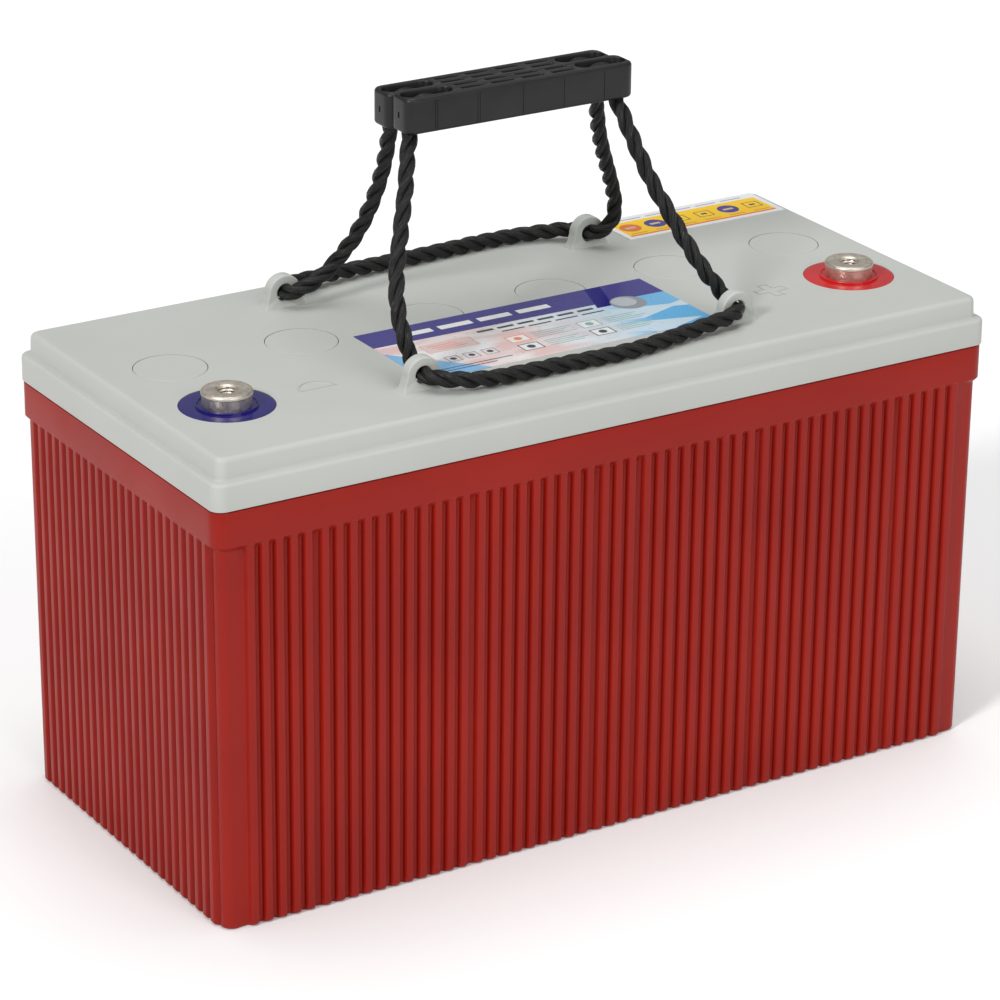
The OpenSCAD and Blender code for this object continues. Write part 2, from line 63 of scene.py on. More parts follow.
# The photograph's viewpoint, solved from the corners of the lid, the seam and the case
CAMERA_PLACE = (-0.7968, -1.2683, 0.7276)
HEADING, ELEVATION, ROLL = (math.radians(degrees) for degrees in (32.03, 22.46, 0.513))
LENS, SENSOR_WIDTH = 149.8, 36
CLIP_START, CLIP_END = 0.1, 20


def make_camera():
    data = bpy.data.cameras.new("camera")
    data.lens, data.sensor_width = LENS, SENSOR_WIDTH
    data.clip_start, data.clip_end = CLIP_START, CLIP_END
    camera = bpy.data.objects.new("camera", data)
    turn = Matrix.Rotation(-HEADING, 4, "Z") @ Matrix.Rotation(math.pi / 2 - ELEVATION, 4, "X")
    camera.matrix_world = Matrix.Translation(CAMERA_PLACE) @ turn @ Matrix.Rotation(ROLL, 4, "Z")
    bpy.context.scene.collection.objects.link(camera)
    bpy.context.scene.camera = camera


# ---- Mesh helpers ----


def new_object(name, points, faces, angle=35):
    """A mesh object with smooth shading, and sharp edges where faces meet at more than angle."""
    mesh = bpy.data.meshes.new(name)
    mesh.from_pydata([tuple(p) for p in points], [], faces)
    mesh.validate()
    obj = bpy.data.objects.new(name, mesh)
    bpy.context.scene.collection.objects.link(obj)
    shade(obj, angle)
    return obj


def shade(obj, angle=35):
    mesh = obj.data
    mesh.polygons.foreach_set("use_smooth", [True] * len(mesh.polygons))
    mesh.set_sharp_from_angle(angle=math.radians(angle))
    mesh.update()


def loft_faces(ring_count, ring_size, closed_path=False):
    faces = []
    for i in range(ring_count if closed_path else ring_count - 1):
        a, b = i * ring_size, (i + 1) % ring_count * ring_size
        for k in range(ring_size):
            n = (k + 1) % ring_size
            faces.append((a + k, a + n, b + n, b + k))
    return faces


def loft(name, rings, angle=35, closed_path=False):
    """A closed surface through rings of points, each seen anticlockwise from its end."""
    size = len(rings[0])
    faces = loft_faces(len(rings), size, closed_path)
    if not closed_path:
        faces.append(tuple(reversed(range(size))))
        last = (len(rings) - 1) * size
        faces.append(tuple(range(last, last + size)))
    return new_object(name, [p for ring in rings for p in ring], faces, angle)


def rounded_rect(half_x, half_y, radius, steps=8):
    """Outline of a rectangle with round corners, anticlockwise, as (x, y)."""
    points = []
    for corner, (sx, sy) in enumerate(((1, 1), (-1, 1), (-1, -1), (1, -1))):
        for i in range(steps + 1):
            a = math.pi / 2 * (corner + i / steps)
            x = sx * (half_x - radius) + radius * math.cos(a)
            y = sy * (half_y - radius) + radius * math.sin(a)
            points.append((x, y))
    return points


def level(outline, z, centre=(0, 0)):
    """The outline as a ring of points at height z, moved to centre."""
    return [Vector((x + centre[0], y + centre[1], z)) for x, y in outline]


def on_circle(centre, radius, angle, z):
    return Vector((centre[0] + radius * math.cos(angle), centre[1] + radius * math.sin(angle), z))


def middle_of(node):
    low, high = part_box(node)
    return ((low.x + high.x) / 2, (low.y + high.y) / 2)


def rounded_block(name, half_x, half_y, radius, z0, z1, centre=(0, 0), steps=8):
    outline = rounded_rect(half_x, half_y, radius, steps)
    return loft(name, [level(outline, z, centre) for z in (z0, z1)])


def turned(name, profile, centre=(0, 0), steps=64, angle=35):
    """A solid of revolution about Z: profile is (radius, z), from its lowest point on the axis up."""
    inner = profile[1:-1]
    points = [Vector((*centre, profile[0][1])), Vector((*centre, profile[-1][1]))]
    for r, z in inner:
        points += [on_circle(centre, r, 2 * math.pi * k / steps, z) for k in range(steps)]
    faces = [tuple(i + 2 for i in f) for f in loft_faces(len(inner), steps)]
    last = 2 + (len(inner) - 1) * steps
    for k in range(steps):
        n = (k + 1) % steps
        faces.append((0, 2 + n, 2 + k))
        faces.append((1, last + k, last + n))
    return new_object(name, points, faces, angle)


def turned_ring(name, profile, centre=(0, 0), steps=64, angle=35):
    """A ring about Z: profile is a closed outline of (radius, z)."""
    rings = []
    for k in range(steps):
        a = 2 * math.pi * k / steps
        rings.append([on_circle(centre, r, a, z) for r, z in profile])
    return loft(name, rings, angle, closed_path=True)


def combine(target, others, operation="DIFFERENCE", angle=35):
    """Cuts the others from target, or joins them to it, and removes them."""
    for other in others:
        modifier = target.modifiers.new("combine", "BOOLEAN")
        modifier.object = other
        modifier.operation = operation
        modifier.solver = "EXACT"
    bake_modifiers(target)
    for other in others:
        bpy.data.objects.remove(other)
    shade(target, angle)
    return target


def bake_modifiers(obj):
    graph = bpy.context.evaluated_depsgraph_get()
    mesh = bpy.data.meshes.new_from_object(obj.evaluated_get(graph))
    obj.modifiers.clear()
    obj.data = mesh


def place(piece, body, slot, material, *nodes):
    """Gives a finished piece its material and its body, and hides the CAD nodes that it stands for."""
    piece.data.materials.clear()
    piece.data.materials.append(material)
    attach(piece, body)
    if nodes:
        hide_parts(*nodes)
    return piece


# ---- Materials ----


class Nodes:
    """A material with a Principled shader, and short calls that add and join nodes."""

    def __init__(self, name):
        self.material = bpy.data.materials.new(name)
        self.material.use_nodes = True
        self.tree = self.material.node_tree
        self.shader = self.tree.nodes["Principled BSDF"]

    def add(self, kind, inputs=None, **settings):
        node = self.tree.nodes.new(kind)
        for key, value in settings.items():
            setattr(node, key, value)
        for key, value in (inputs or {}).items():
            self.feed(node.inputs[key], value)
        return node

    def feed(self, socket, value):
        """Links a value that comes from another node, and sets one that is the same all over."""
        if isinstance(value, bpy.types.NodeSocket):
            self.tree.links.new(value, socket)
        else:
            socket.default_value = value

    def set(self, **values):
        for key, value in values.items():
            self.feed(self.shader.inputs[key.replace("_", " ")], value)

    def place(self, kind="Object"):
        return self.add("ShaderNodeTexCoord").outputs[kind]

    def noise(self, where, scale, detail=4, roughness=0.55):
        inputs = {"Vector": where, "Scale": scale, "Detail": detail, "Roughness": roughness}
        return self.add("ShaderNodeTexNoise", inputs).outputs["Fac"]

    def mix(self, share, a, b):
        """A mix of two colours: inputs 0, 6 and 7 and output 2 are the Mix node's sockets for them."""
        return self.add("ShaderNodeMix", {0: share, 6: a, 7: b}, data_type="RGBA").outputs[2]

    def math(self, operation, a, b=0.0, c=0.0):
        return self.add("ShaderNodeMath", {0: a, 1: b, 2: c}, operation=operation).outputs[0]

    def span(self, value, low, high, to_low=0.0, to_high=1.0):
        return self.add(
            "ShaderNodeMapRange",
            {"Value": value, "From Min": low, "From Max": high, "To Min": to_low, "To Max": to_high},
        ).outputs[0]

    def bump(self, height, strength, distance):
        inputs = {"Height": height, "Strength": strength, "Distance": distance}
        self.set(Normal=self.add("ShaderNodeBump", inputs).outputs[0])


def rgba(r, g, b):
    return (r, g, b, 1.0)


def plastic(name, light, dark, roughness, grain=2500, grain_depth=0.02, blotch=40, specular=0.5):
    """Moulded plastic: fine grain in the surface, faint blotches of colour and gloss."""
    n = Nodes(name)
    where = n.place()
    blotches = n.noise(where, blotch, 5)
    fine = n.noise(where, grain, 2)
    n.set(Base_Color=n.mix(n.span(blotches, 0.35, 0.65), dark, light))
    gloss = n.noise(where, blotch * 3, 3)
    n.set(Roughness=n.span(gloss, 0.3, 0.7, roughness - 0.05, roughness + 0.06))
    n.set(Specular_IOR_Level=specular)
    n.bump(fine, 0.35, grain_depth * MM)
    return n.material


def metal(name, light, dark, roughness, grain_depth):
    """Cast or tinned metal: stained unevenly, with a fine grain."""
    n = Nodes(name)
    where = n.place()
    stains = n.noise(where, 350, 6)
    n.set(Base_Color=n.mix(n.span(stains, 0.3, 0.7), dark, light), Metallic=1.0)
    n.set(Roughness=n.span(n.noise(where, 900, 3), 0.3, 0.7, roughness - 0.08, roughness + 0.12))
    n.bump(n.noise(where, 2500, 3), 0.3, grain_depth * MM)
    return n.material


def rope_material():
    """Glossy black filaments: u runs along the strand, v round it."""
    n = Nodes("rope_black")
    part = n.add("ShaderNodeSeparateXYZ", {"Vector": n.place("UV")})
    along, around = part.outputs[0], part.outputs[1]
    long_way = n.math("MULTIPLY", along, 160)
    fine = n.add("ShaderNodeCombineXYZ", {"X": long_way, "Y": n.math("MULTIPLY", around, 22)})
    coarse = n.add("ShaderNodeCombineXYZ", {"X": long_way, "Y": n.math("MULTIPLY", around, 9)})
    fibres = n.noise(fine.outputs[0], 1.0, 3, 0.7)
    bundles = n.noise(coarse.outputs[0], 1.0, 2, 0.6)
    height = n.math("MULTIPLY_ADD", bundles, 1.4, fibres)
    # The lighter filaments in the base colour are painted sheen; the same filaments are also made glossier
    sheen = n.span(fibres, 0.4, 0.62)
    n.set(Base_Color=n.mix(sheen, rgba(0.0008, 0.0008, 0.0008), rgba(0.013, 0.0115, 0.011)))
    n.set(Roughness=n.span(fibres, 0.42, 0.62, 0.75, 0.27), Specular_IOR_Level=0.4)
    n.bump(height, 1.0, 0.5 * MM)
    return n.material


def printed(name, node, ground, shapes, roughness):
    """A printed film.

    The shapes are ("bar", x, y, half x, half y, colour) or ("disc", x, y, radius, 0, colour), in
    millimetres from the label's left front corner.
    """
    low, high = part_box(node)
    n = Nodes(name)
    part = n.add("ShaderNodeSeparateXYZ", {"Vector": n.place("Generated")})
    x = n.math("MULTIPLY", part.outputs[0], (high.x - low.x) / MM)
    y = n.math("MULTIPLY", part.outputs[1], (high.y - low.y) / MM)
    colour = ground(n, x, y)
    for kind, cx, cy, a, b, ink in shapes:
        if kind == "bar":
            mask = n.math("MULTIPLY", n.math("COMPARE", x, cx, a), n.math("COMPARE", y, cy, b))
        else:
            dx, dy = n.math("SUBTRACT", x, cx), n.math("SUBTRACT", y, cy)
            reach = n.math("ADD", n.math("MULTIPLY", dx, dx), n.math("MULTIPLY", dy, dy))
            mask = n.math("LESS_THAN", reach, a * a)
        colour = n.mix(mask, colour, rgba(*ink))
    gloss = n.span(n.noise(n.place(), 300, 3), 0.3, 0.7, roughness - 0.04, roughness + 0.05)
    n.set(Base_Color=colour, Roughness=gloss, Specular_IOR_Level=0.3)
    n.bump(n.noise(n.place(), 500, 2), 0.2, 0.004 * MM)
    return n.material


# Inks of the two labels
NAVY, DEEP_BLUE, PAPER = (0.050, 0.045, 0.21), (0.002, 0.001, 0.15), (0.72, 0.73, 0.72)
PINK, PALE_BLUE, SKY = (0.66, 0.47, 0.46), (0.50, 0.62, 0.70), (0.10, 0.38, 0.66)
INK, ORANGE, GREEN_GREY = (0.05, 0.06, 0.08), (0.70, 0.23, 0.10), (0.22, 0.38, 0.36)
DUSTY_PINK, MAUVE = (0.66, 0.52, 0.52), (0.66, 0.60, 0.62)
DARK_GREY, MID_GREY = (0.24, 0.27, 0.30), (0.42, 0.45, 0.47)
YELLOW, LILAC, BROWN = (0.88, 0.56, 0.012), (0.36, 0.34, 0.52), (0.42, 0.26, 0.05)
RUST, DARK_BLUE, TAN = (0.62, 0.16, 0.04), (0.06, 0.05, 0.24), (0.55, 0.42, 0.3)


def main_ground(n, x, y):
    """Soft pastel clouds, blue shards towards the right, and a navy band along the rear edge."""
    where = n.place("Generated")
    cloud = n.noise(where, 4.0, 2)
    colour = n.mix(n.span(cloud, 0.42, 0.58), rgba(*PINK), rgba(*PAPER))
    colour = n.mix(n.span(x, 55, 100), colour, rgba(*PALE_BLUE))
    shards = n.add("ShaderNodeTexVoronoi", {"Vector": where, "Scale": 5.0}, feature="F1").outputs["Color"]
    tone = n.add("ShaderNodeSeparateColor", {"Color": shards}).outputs[0]
    right = n.span(n.math("MULTIPLY_ADD", y, -0.25, x), 88, 106)
    colour = n.mix(n.math("MULTIPLY", right, n.span(tone, 0.3, 0.6)), colour, rgba(*SKY))
    left_edge = n.math("LESS_THAN", n.math("MULTIPLY_ADD", y, 0.9, x), 28)
    colour = n.mix(n.math("MULTIPLY", left_edge, 0.85), colour, rgba(*SKY))
    band = n.math("GREATER_THAN", n.math("MULTIPLY_ADD", x, 0.012, y), 38.5)
    colour = n.mix(band, colour, rgba(*NAVY))
    lean = n.math("MULTIPLY_ADD", y, -0.35, x)
    shard = n.math("MULTIPLY", n.math("COMPARE", lean, 88, 3.6), n.math("GREATER_THAN", y, 33.5))
    return n.mix(shard, colour, rgba(*DEEP_BLUE))


def framed(x, y, half_x, half_y, line, ink, fill):
    """A box with an outline: a bar of ink, and on it a smaller bar of the fill."""
    return [("bar", x, y, half_x, half_y, ink), ("bar", x, y, half_x - line, half_y - line, fill)]


def main_shapes():
    """Bars, boxes and discs that stand for a label's print, without lettering or signs."""
    shapes = [("bar", 22 + 17.5 * k, 45.5, 7.2, 1.9, PAPER) for k in range(4)]
    shapes += [("bar", 46 + 9 * k, 34.2, 3.6, 0.9, INK) for k in range(6)]
    shapes += [("bar", 56 + 12 * k, 30.2, 5, 0.55, INK) for k in range(4)]
    for column, (x, ink) in enumerate(((52, ORANGE), (84, GREEN_GREY))):
        for row in range(2):
            y = 20.5 - 9.5 * row
            edge = ink if row == 0 else INK
            shapes += framed(x, y, 4.4, 3.4, 0.5, edge, PAPER) + [("disc", x, y, 1.7, 0, edge)]
            for line in range(4):
                length = 9 - 1.3 * ((line + row + column) % 3)
                middle = x + 7 + length
                shapes.append(("bar", middle, y + 2.6 - 1.7 * line, length, 0.28, GREEN_GREY))
    shapes += framed(26, 27.5, 11, 4.3, 0.3, ORANGE, DUSTY_PINK)
    shapes += [("bar", 24 + 1.2 * k, 29.5 - 1.9 * k, 6.5, 0.3, ORANGE) for k in range(3)]
    for x in (20, 28, 36):
        shapes += framed(x, 14.5, 2.8, 2.8, 0.3, INK, MAUVE) + [("disc", x, 14.5, 1.3, 0, INK)]
    shapes += [("bar", 24, 6.6, 17, 0.35, INK), ("bar", 20, 4.4, 13, 0.35, INK)]
    shapes += [("disc", 110, 33, 7.2, 0, DARK_GREY), ("disc", 109, 34.6, 5, 0, MID_GREY)]
    return shapes


def yellow_ground(n, x, y):
    """A yellow field on pale film, with a red line along its front."""
    tint = n.noise(n.place("Generated"), 5.0, 2)
    paper = n.mix(tint, rgba(0.70, 0.71, 0.71), rgba(0.76, 0.77, 0.76))
    field = n.math("MULTIPLY", n.math("COMPARE", x, 38, 35.6), n.math("COMPARE", y, 11.2, 8.2))
    colour = n.mix(field, paper, n.mix(tint, rgba(0.84, 0.51, 0.010), rgba(*YELLOW)))
    edge = n.math("MULTIPLY", n.math("COMPARE", x, 38, 35.6), n.math("COMPARE", y, 2.9, 0.6))
    return n.mix(edge, colour, rgba(0.72, 0.13, 0.05))


def yellow_shapes():
    """A row of plain boxes and discs, with short bars behind and in front of them."""
    shapes = [("bar", 14 + 12.4 * k, 21.6, 5, 0.5, LILAC) for k in range(5)]
    for k, ink in enumerate((RUST, DARK_BLUE, INK, INK, DARK_BLUE, INK)):
        x, y = 8 + 12 * k, 12
        if ink == INK:
            shapes += framed(x, y, 3.6, 3.2, 0.5, INK, YELLOW) + [("bar", x, y, 1.4, 0.8, INK)]
        else:
            shapes += [("disc", x, y, 4.6, 0, ink), ("bar", x, y, 2.4, 0.9, TAN)]
        shapes.append(("bar", x, 5.2, 3.8, 0.35, BROWN))
    return shapes


RED = plastic(
    "case_red", rgba(0.268, 0.0080, 0.0026), rgba(0.232, 0.0058, 0.0018),
    0.36, blotch=12, specular=0.22,
)
GREY = plastic(
    "lid_grey", rgba(0.447, 0.457, 0.430), rgba(0.428, 0.438, 0.412),
    0.5, blotch=15, specular=0.3,
)
GRIP = plastic(
    "grip_black", rgba(0.0115, 0.0105, 0.0110), rgba(0.0065, 0.0058, 0.0060),
    0.38, blotch=60, specular=0.36,
)
RUBBER = plastic("rubber_black", rgba(0.02, 0.02, 0.02), rgba(0.012, 0.012, 0.012), 0.6)
SEALANT = plastic("sealant", rgba(0.03, 0.03, 0.03), rgba(0.02, 0.02, 0.02), 0.5)
BLUE = plastic(
    "seal_blue", rgba(0.012, 0.009, 0.13), rgba(0.008, 0.006, 0.10),
    0.12, grain_depth=0.004,
)
SEAL_RED = plastic(
    "seal_red", rgba(0.50, 0.010, 0.012), rgba(0.42, 0.007, 0.008),
    0.12, grain_depth=0.004,
)
METAL = metal("terminal_metal", rgba(0.72, 0.66, 0.58), rgba(0.58, 0.52, 0.44), 0.42, 0.008)
LEAD = metal("lead", rgba(0.30, 0.31, 0.33), rgba(0.18, 0.19, 0.20), 0.55, 0.03)
PASTE = plastic("positive_paste", rgba(0.12, 0.055, 0.03), rgba(0.08, 0.035, 0.02), 0.8, 900, 0.1)
MAT = plastic("glass_mat", rgba(0.85, 0.85, 0.83), rgba(0.75, 0.75, 0.73), 0.9, 1500, 0.15)
ROPE = rope_material()
LABEL = printed("label_print", "main_label", main_ground, main_shapes(), 0.3)
YELLOW_LABEL = printed("yellow_print", "yellow_label", yellow_ground, yellow_shapes(), 0.32)

# ---- Ropes ----

# The routes of the two ropes, as in the CAD source, in metres
FRONT_LEFT_LEG = [
    (-0.0722, -0.044, 0.2025), (-0.0724, -0.0414, 0.2066), (-0.0714, -0.037, 0.2133),
    (-0.0692, -0.0326, 0.2199), (-0.0662, -0.0282, 0.2266), (-0.0626, -0.024, 0.233),
    (-0.0584, -0.0188, 0.2407), (-0.054, -0.0136, 0.2488), (-0.0506, -0.0088, 0.2563),
    (-0.0472, -0.0044, 0.2622), (-0.0453, -0.0022, 0.2649),
]
FRONT_RIGHT_LEG = [
    (0.062, -0.044, 0.2025), (0.0602, -0.0414, 0.2063), (0.0576, -0.0374, 0.2124),
    (0.055, -0.0326, 0.2198), (0.0524, -0.0276, 0.2276), (0.0499, -0.0224, 0.2354),
    (0.0482, -0.0168, 0.244), (0.0468, -0.0112, 0.2526), (0.0459, -0.0066, 0.2598),
    (0.0454, -0.0032, 0.2636), (0.0453, -0.0022, 0.265),
]
FRONT_STRAND = [
    (-0.0715, -0.0438, 0.1993), (-0.0707, -0.0444, 0.1957), (-0.07, -0.0463, 0.193),
    (-0.0696, -0.049, 0.1916), (-0.0694, -0.052, 0.1911), (-0.0687, -0.0551, 0.191),
    (-0.0662, -0.058, 0.1908), (-0.0616, -0.0609, 0.1904), (-0.056, -0.0628, 0.1899),
    (-0.0496, -0.0638, 0.1894), (-0.042, -0.0639, 0.189), (-0.032, -0.0638, 0.1888),
    (-0.02, -0.0637, 0.1887), (-0.006, -0.0643, 0.1887), (0.007, -0.0647, 0.1887),
    (0.018, -0.0639, 0.1887), (0.028, -0.0621, 0.1888), (0.038, -0.0603, 0.189),
    (0.048, -0.0589, 0.1895), (0.056, -0.0579, 0.19), (0.062, -0.0572, 0.1905),
    (0.0663, -0.056, 0.1909), (0.0689, -0.0536, 0.1911), (0.0696, -0.0505, 0.1912),
    (0.0693, -0.0476, 0.192), (0.0682, -0.0452, 0.1942), (0.0662, -0.044, 0.1978),
]
REAR_LEFT_LEG = [
    (-0.049, 0.0465, 0.2025), (-0.0466, 0.0442, 0.2064), (-0.0442, 0.0406, 0.2129),
    (-0.0426, 0.0364, 0.2204), (-0.0419, 0.031, 0.2298), (-0.0419, 0.026, 0.239),
    (-0.0427, 0.021, 0.248), (-0.044, 0.0168, 0.2556), (-0.0452, 0.0136, 0.2612),
    (-0.0453, 0.0123, 0.2636),
]
REAR_RIGHT_LEG = [
    (0.0786, 0.0465, 0.2025), (0.0769, 0.0446, 0.206), (0.0736, 0.0412, 0.212),
    (0.0696, 0.0374, 0.2188), (0.065, 0.0332, 0.2262), (0.06, 0.0286, 0.2344),
    (0.0552, 0.0238, 0.243), (0.0512, 0.019, 0.2514), (0.048, 0.0152, 0.258),
    (0.0459, 0.0129, 0.2619), (0.0453, 0.0122, 0.2638),
]
REAR_STRAND = [
    (-0.0515, 0.0462, 0.1996), (-0.0564, 0.0459, 0.1968), (-0.062, 0.0459, 0.1941),
    (-0.0666, 0.0467, 0.1925), (-0.0691, 0.0487, 0.1916), (-0.0697, 0.0518, 0.1912),
    (-0.0693, 0.0552, 0.191), (-0.067, 0.0582, 0.1909), (-0.0626, 0.0603, 0.1907),
    (-0.0536, 0.062, 0.1903), (-0.042, 0.0639, 0.1898), (-0.03, 0.0655, 0.1894),
    (-0.016, 0.0666, 0.189), (-0.002, 0.0675, 0.1888), (0.012, 0.0686, 0.1887),
    (0.026, 0.0694, 0.1887), (0.038, 0.0698, 0.1887), (0.048, 0.0687, 0.1889),
    (0.056, 0.0665, 0.1893), (0.0624, 0.0637, 0.1899), (0.067, 0.0608, 0.1905),
    (0.0694, 0.0576, 0.1909), (0.0699, 0.0542, 0.1911), (0.0698, 0.051, 0.1913),
    (0.0705, 0.0484, 0.1918), (0.0723, 0.0465, 0.1929), (0.075, 0.0456, 0.1945),
    (0.0773, 0.0458, 0.1969),
]

ROPE_D = 6.4 * MM
STRANDS = 3
# Three strands that touch each other and fill the rope's diameter
STRAND_R = ROPE_D / 2 / (1 + 2 / math.sqrt(3))
STRAND_OFFSET = ROPE_D / 2 - STRAND_R
STRAND_SIDES = 32
# Yarns round a strand, their twist in radians per metre, and the shares of its radius
YARNS, YARN_TWIST = 8, 150
CORE_SHARE, YARN_SHARE = 0.93, 0.09
# Slow swellings of a strand: share of its radius, radians per metre, shift from strand to strand
SWELLS = ((0.03, 900, 2.1), (0.02, 2300, 1))
# Length of one turn of the rope on the lid and in the legs, and the heights that it changes between
LAY_LOW, LAY_HIGH = 23.5 * MM, 28 * MM
LAY_LOW_Z, LAY_HIGH_Z = 0.192, 0.215
# Spacing of the points along a rope, the points per span of its curve, and the passes that smooth it
STEP = 0.7 * MM
SPLINE_STEPS, SMOOTH_PASSES = 24, 22
TINY = 1e-9
# The rope's way in a grip: its hole, the tuck hole, and the turn over the bridge between them
ROPE_HOLE_X, TUCK_HOLE_X = 45.2 * MM, 31.2 * MM
TURN_X, TURN_HALF_X = (ROPE_HOLE_X + TUCK_HOLE_X) / 2, (ROPE_HOLE_X - TUCK_HOLE_X) / 2
ROPE_BEND_Z, TUCK_FLOOR = 2.6 * MM, 1.2 * MM
TURN_RISE, TURN_STEPS, TURN_ROUNDNESS = 8 * MM, 8, 0.7
# How far under a grip the free piece of its rope starts
EXIT_DROP = 0.5 * MM


def cubic(a, b, c, d, t):
    """A point between b and c on a smooth curve through the four points."""
    return b + 0.5 * t * (c - a + t * (2 * a - 5 * b + 4 * c - d + t * (3 * b - a - 3 * c + d)))


def smooth_route(points, step):
    """Evenly spaced points on a smooth curve through the route's own."""
    points = [Vector(p) for p in points]
    fine = []
    for k in range(len(points) - 1):
        a, b, c = points[max(k - 1, 0)], points[k], points[k + 1]
        d = points[min(k + 2, len(points) - 1)]
        fine += [cubic(a, b, c, d, i / SPLINE_STEPS) for i in range(SPLINE_STEPS)]
    fine = respaced(fine + [points[-1]], step)
    for _ in range(SMOOTH_PASSES):
        inner = [(fine[i - 1] + 2 * fine[i] + fine[i + 1]) / 4 for i in range(1, len(fine) - 1)]
        fine = [fine[0]] + inner + [fine[-1]]
    return respaced(fine, step)


def respaced(line, step):
    """The line with its points at even distances, close to step."""
    reach = [0.0]
    for a, b in zip(line, line[1:]):
        reach.append(reach[-1] + (b - a).length)
    count = max(2, round(reach[-1] / step))
    spaced, k = [], 0
    for i in range(count + 1):
        s = reach[-1] * i / count
        while k < len(line) - 2 and reach[k + 1] < s:
            k += 1
        share = (s - reach[k]) / max(reach[k + 1] - reach[k], TINY)
        spaced.append(line[k].lerp(line[k + 1], min(max(share, 0), 1)))
    return spaced


def line_length(line):
    return sum((b - a).length for a, b in zip(line, line[1:]))


def tangents(line):
    last = len(line) - 1
    return [(line[min(i + 1, last)] - line[max(i - 1, 0)]).normalized() for i in range(last + 1)]


def carried_sides(runs):
    """A side direction for each point, carried along without twist."""
    side = runs[0].orthogonal().normalized()
    sides = []
    for run in runs:
        side = (side - run * side.dot(run)).normalized()
        sides.append(side)
    return sides


def lay_at(point):
    """Length of one turn of the rope: shorter where it lies on the lid than in the legs."""
    share = min(max((point.z - LAY_LOW_Z) / (LAY_HIGH_Z - LAY_LOW_Z), 0), 1)
    return LAY_LOW + (LAY_HIGH - LAY_LOW) * share


def lay_angles(line, step):
    """How far the strands have turned round the line at each of its points."""
    angles = [0.0]
    for point in line[1:]:
        angles.append(angles[-1] + 2 * math.pi * step / lay_at(point))
    return angles


def strand_ring(centre, out, across, s, strand):
    """Points round a strand: out and across span its section, and s is the way along the rope."""
    swell = sum((size * math.sin(s * pace + strand * shift) for size, pace, shift in SWELLS), 1)
    ring = []
    for k in range(STRAND_SIDES):
        a = 2 * math.pi * k / STRAND_SIDES
        yarn = abs(math.cos(YARNS / 2 * (a + s * YARN_TWIST)))
        r = STRAND_R * (swell * CORE_SHARE + YARN_SHARE * yarn)
        ring.append(centre + r * (out * math.cos(a) + across * math.sin(a)))
    return ring


def unroll(obj, rings, first, step):
    """UVs of a laid rope: metres along the line, and turns round the strand plus its number."""
    layer = obj.data.uv_layers.new(name="along")
    for polygon in obj.data.polygons:
        corners = [obj.data.loops[loop].vertex_index for loop in polygon.loop_indices]
        wraps = any(corner % STRAND_SIDES == STRAND_SIDES - 1 for corner in corners)
        for loop, corner in zip(polygon.loop_indices, corners):
            strand, rest = divmod(corner, rings * STRAND_SIDES)
            i, k = divmod(rest, STRAND_SIDES)
            around = 1.0 if k == 0 and wraps else k / STRAND_SIDES
            layer.data[loop].uv = ((first + i) * step, around + strand)


def laid_rope(name, line, first, last):
    """Three twisted strands round a line, from its point first to its point last."""
    runs = tangents(line)
    sides = carried_sides(runs)
    step = line_length(line) / (len(line) - 1)
    turned_by = lay_angles(line, step)
    rings = last - first + 1
    points, faces = [], []
    for strand in range(STRANDS):
        start = len(points)
        for i in range(first, last + 1):
            run, side = runs[i], sides[i]
            rise = run.cross(side)
            turn = turned_by[i] + 2 * math.pi * strand / STRANDS
            out = side * math.cos(turn) + rise * math.sin(turn)
            pace = 2 * math.pi / lay_at(line[i]) * STRAND_OFFSET
            forward = (run + pace * (rise * math.cos(turn) - side * math.sin(turn))).normalized()
            across = forward.cross(out).normalized()
            points += strand_ring(line[i] + out * STRAND_OFFSET, out, across, i * step, strand)
        for face in loft_faces(rings, STRAND_SIDES):
            faces.append(tuple(start + corner for corner in face))
        faces.append(tuple(start + corner for corner in reversed(range(STRAND_SIDES))))
        faces.append(tuple(start + (rings - 1) * STRAND_SIDES + k for k in range(STRAND_SIDES)))
    obj = new_object(name, points, faces, 80)
    unroll(obj, rings, first, step)
    return obj


def grip_turn(node, side):
    """Points of the rope inside a grip, from the tuck hole over the bridge to the grip's underside."""
    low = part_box(node)[0]
    y = middle_of(node)[1]
    points = [(side * TUCK_HOLE_X, y, low.z + TUCK_FLOOR)]
    for i in range(TURN_STEPS + 1):
        a = math.pi * (1 - i / TURN_STEPS)
        x = side * (TURN_X + TURN_HALF_X * math.cos(a))
        points.append((x, y, low.z + ROPE_BEND_Z + TURN_RISE * math.sin(a) ** TURN_ROUNDNESS))
    points.append((side * ROPE_HOLE_X, y, low.z))
    return points


def handle_rope(which, left_leg, strand, right_leg):
    """One rope from grip end to grip end: a free piece between two short pieces held in the grip."""
    body, grip = which + "_handle", which + "_grip"
    left_turn, right_turn = grip_turn(grip, -1), grip_turn(grip, 1)
    free = left_leg[::-1] + strand + right_leg
    line = smooth_route(left_turn + free + right_turn[::-1], STEP)
    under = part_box(grip)[0].z
    inside = [i for i, p in enumerate(line) if p.z < under - EXIT_DROP]
    first, last = inside[0], inside[-1]
    rope = laid_rope(which + "_rope", line, first, last)
    rope.data.materials.append(ROPE)
    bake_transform(rope)
    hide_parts(*[f"{which}_rope_{part}" for part in ("strand", "left_leg", "right_leg")])
    for name, a, b in (("left", 0, first), ("right", last, len(line) - 1)):
        end = laid_rope(f"{which}_rope_{name}_end", line, a, b)
        place(end, body, "rope_black", ROPE)
    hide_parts(which + "_rope_ends")


make_camera()
handle_rope("front", FRONT_LEFT_LEG, FRONT_STRAND, FRONT_RIGHT_LEG)
handle_rope("rear", REAR_LEFT_LEG, REAR_STRAND, REAR_RIGHT_LEG)

# ---- Case ----

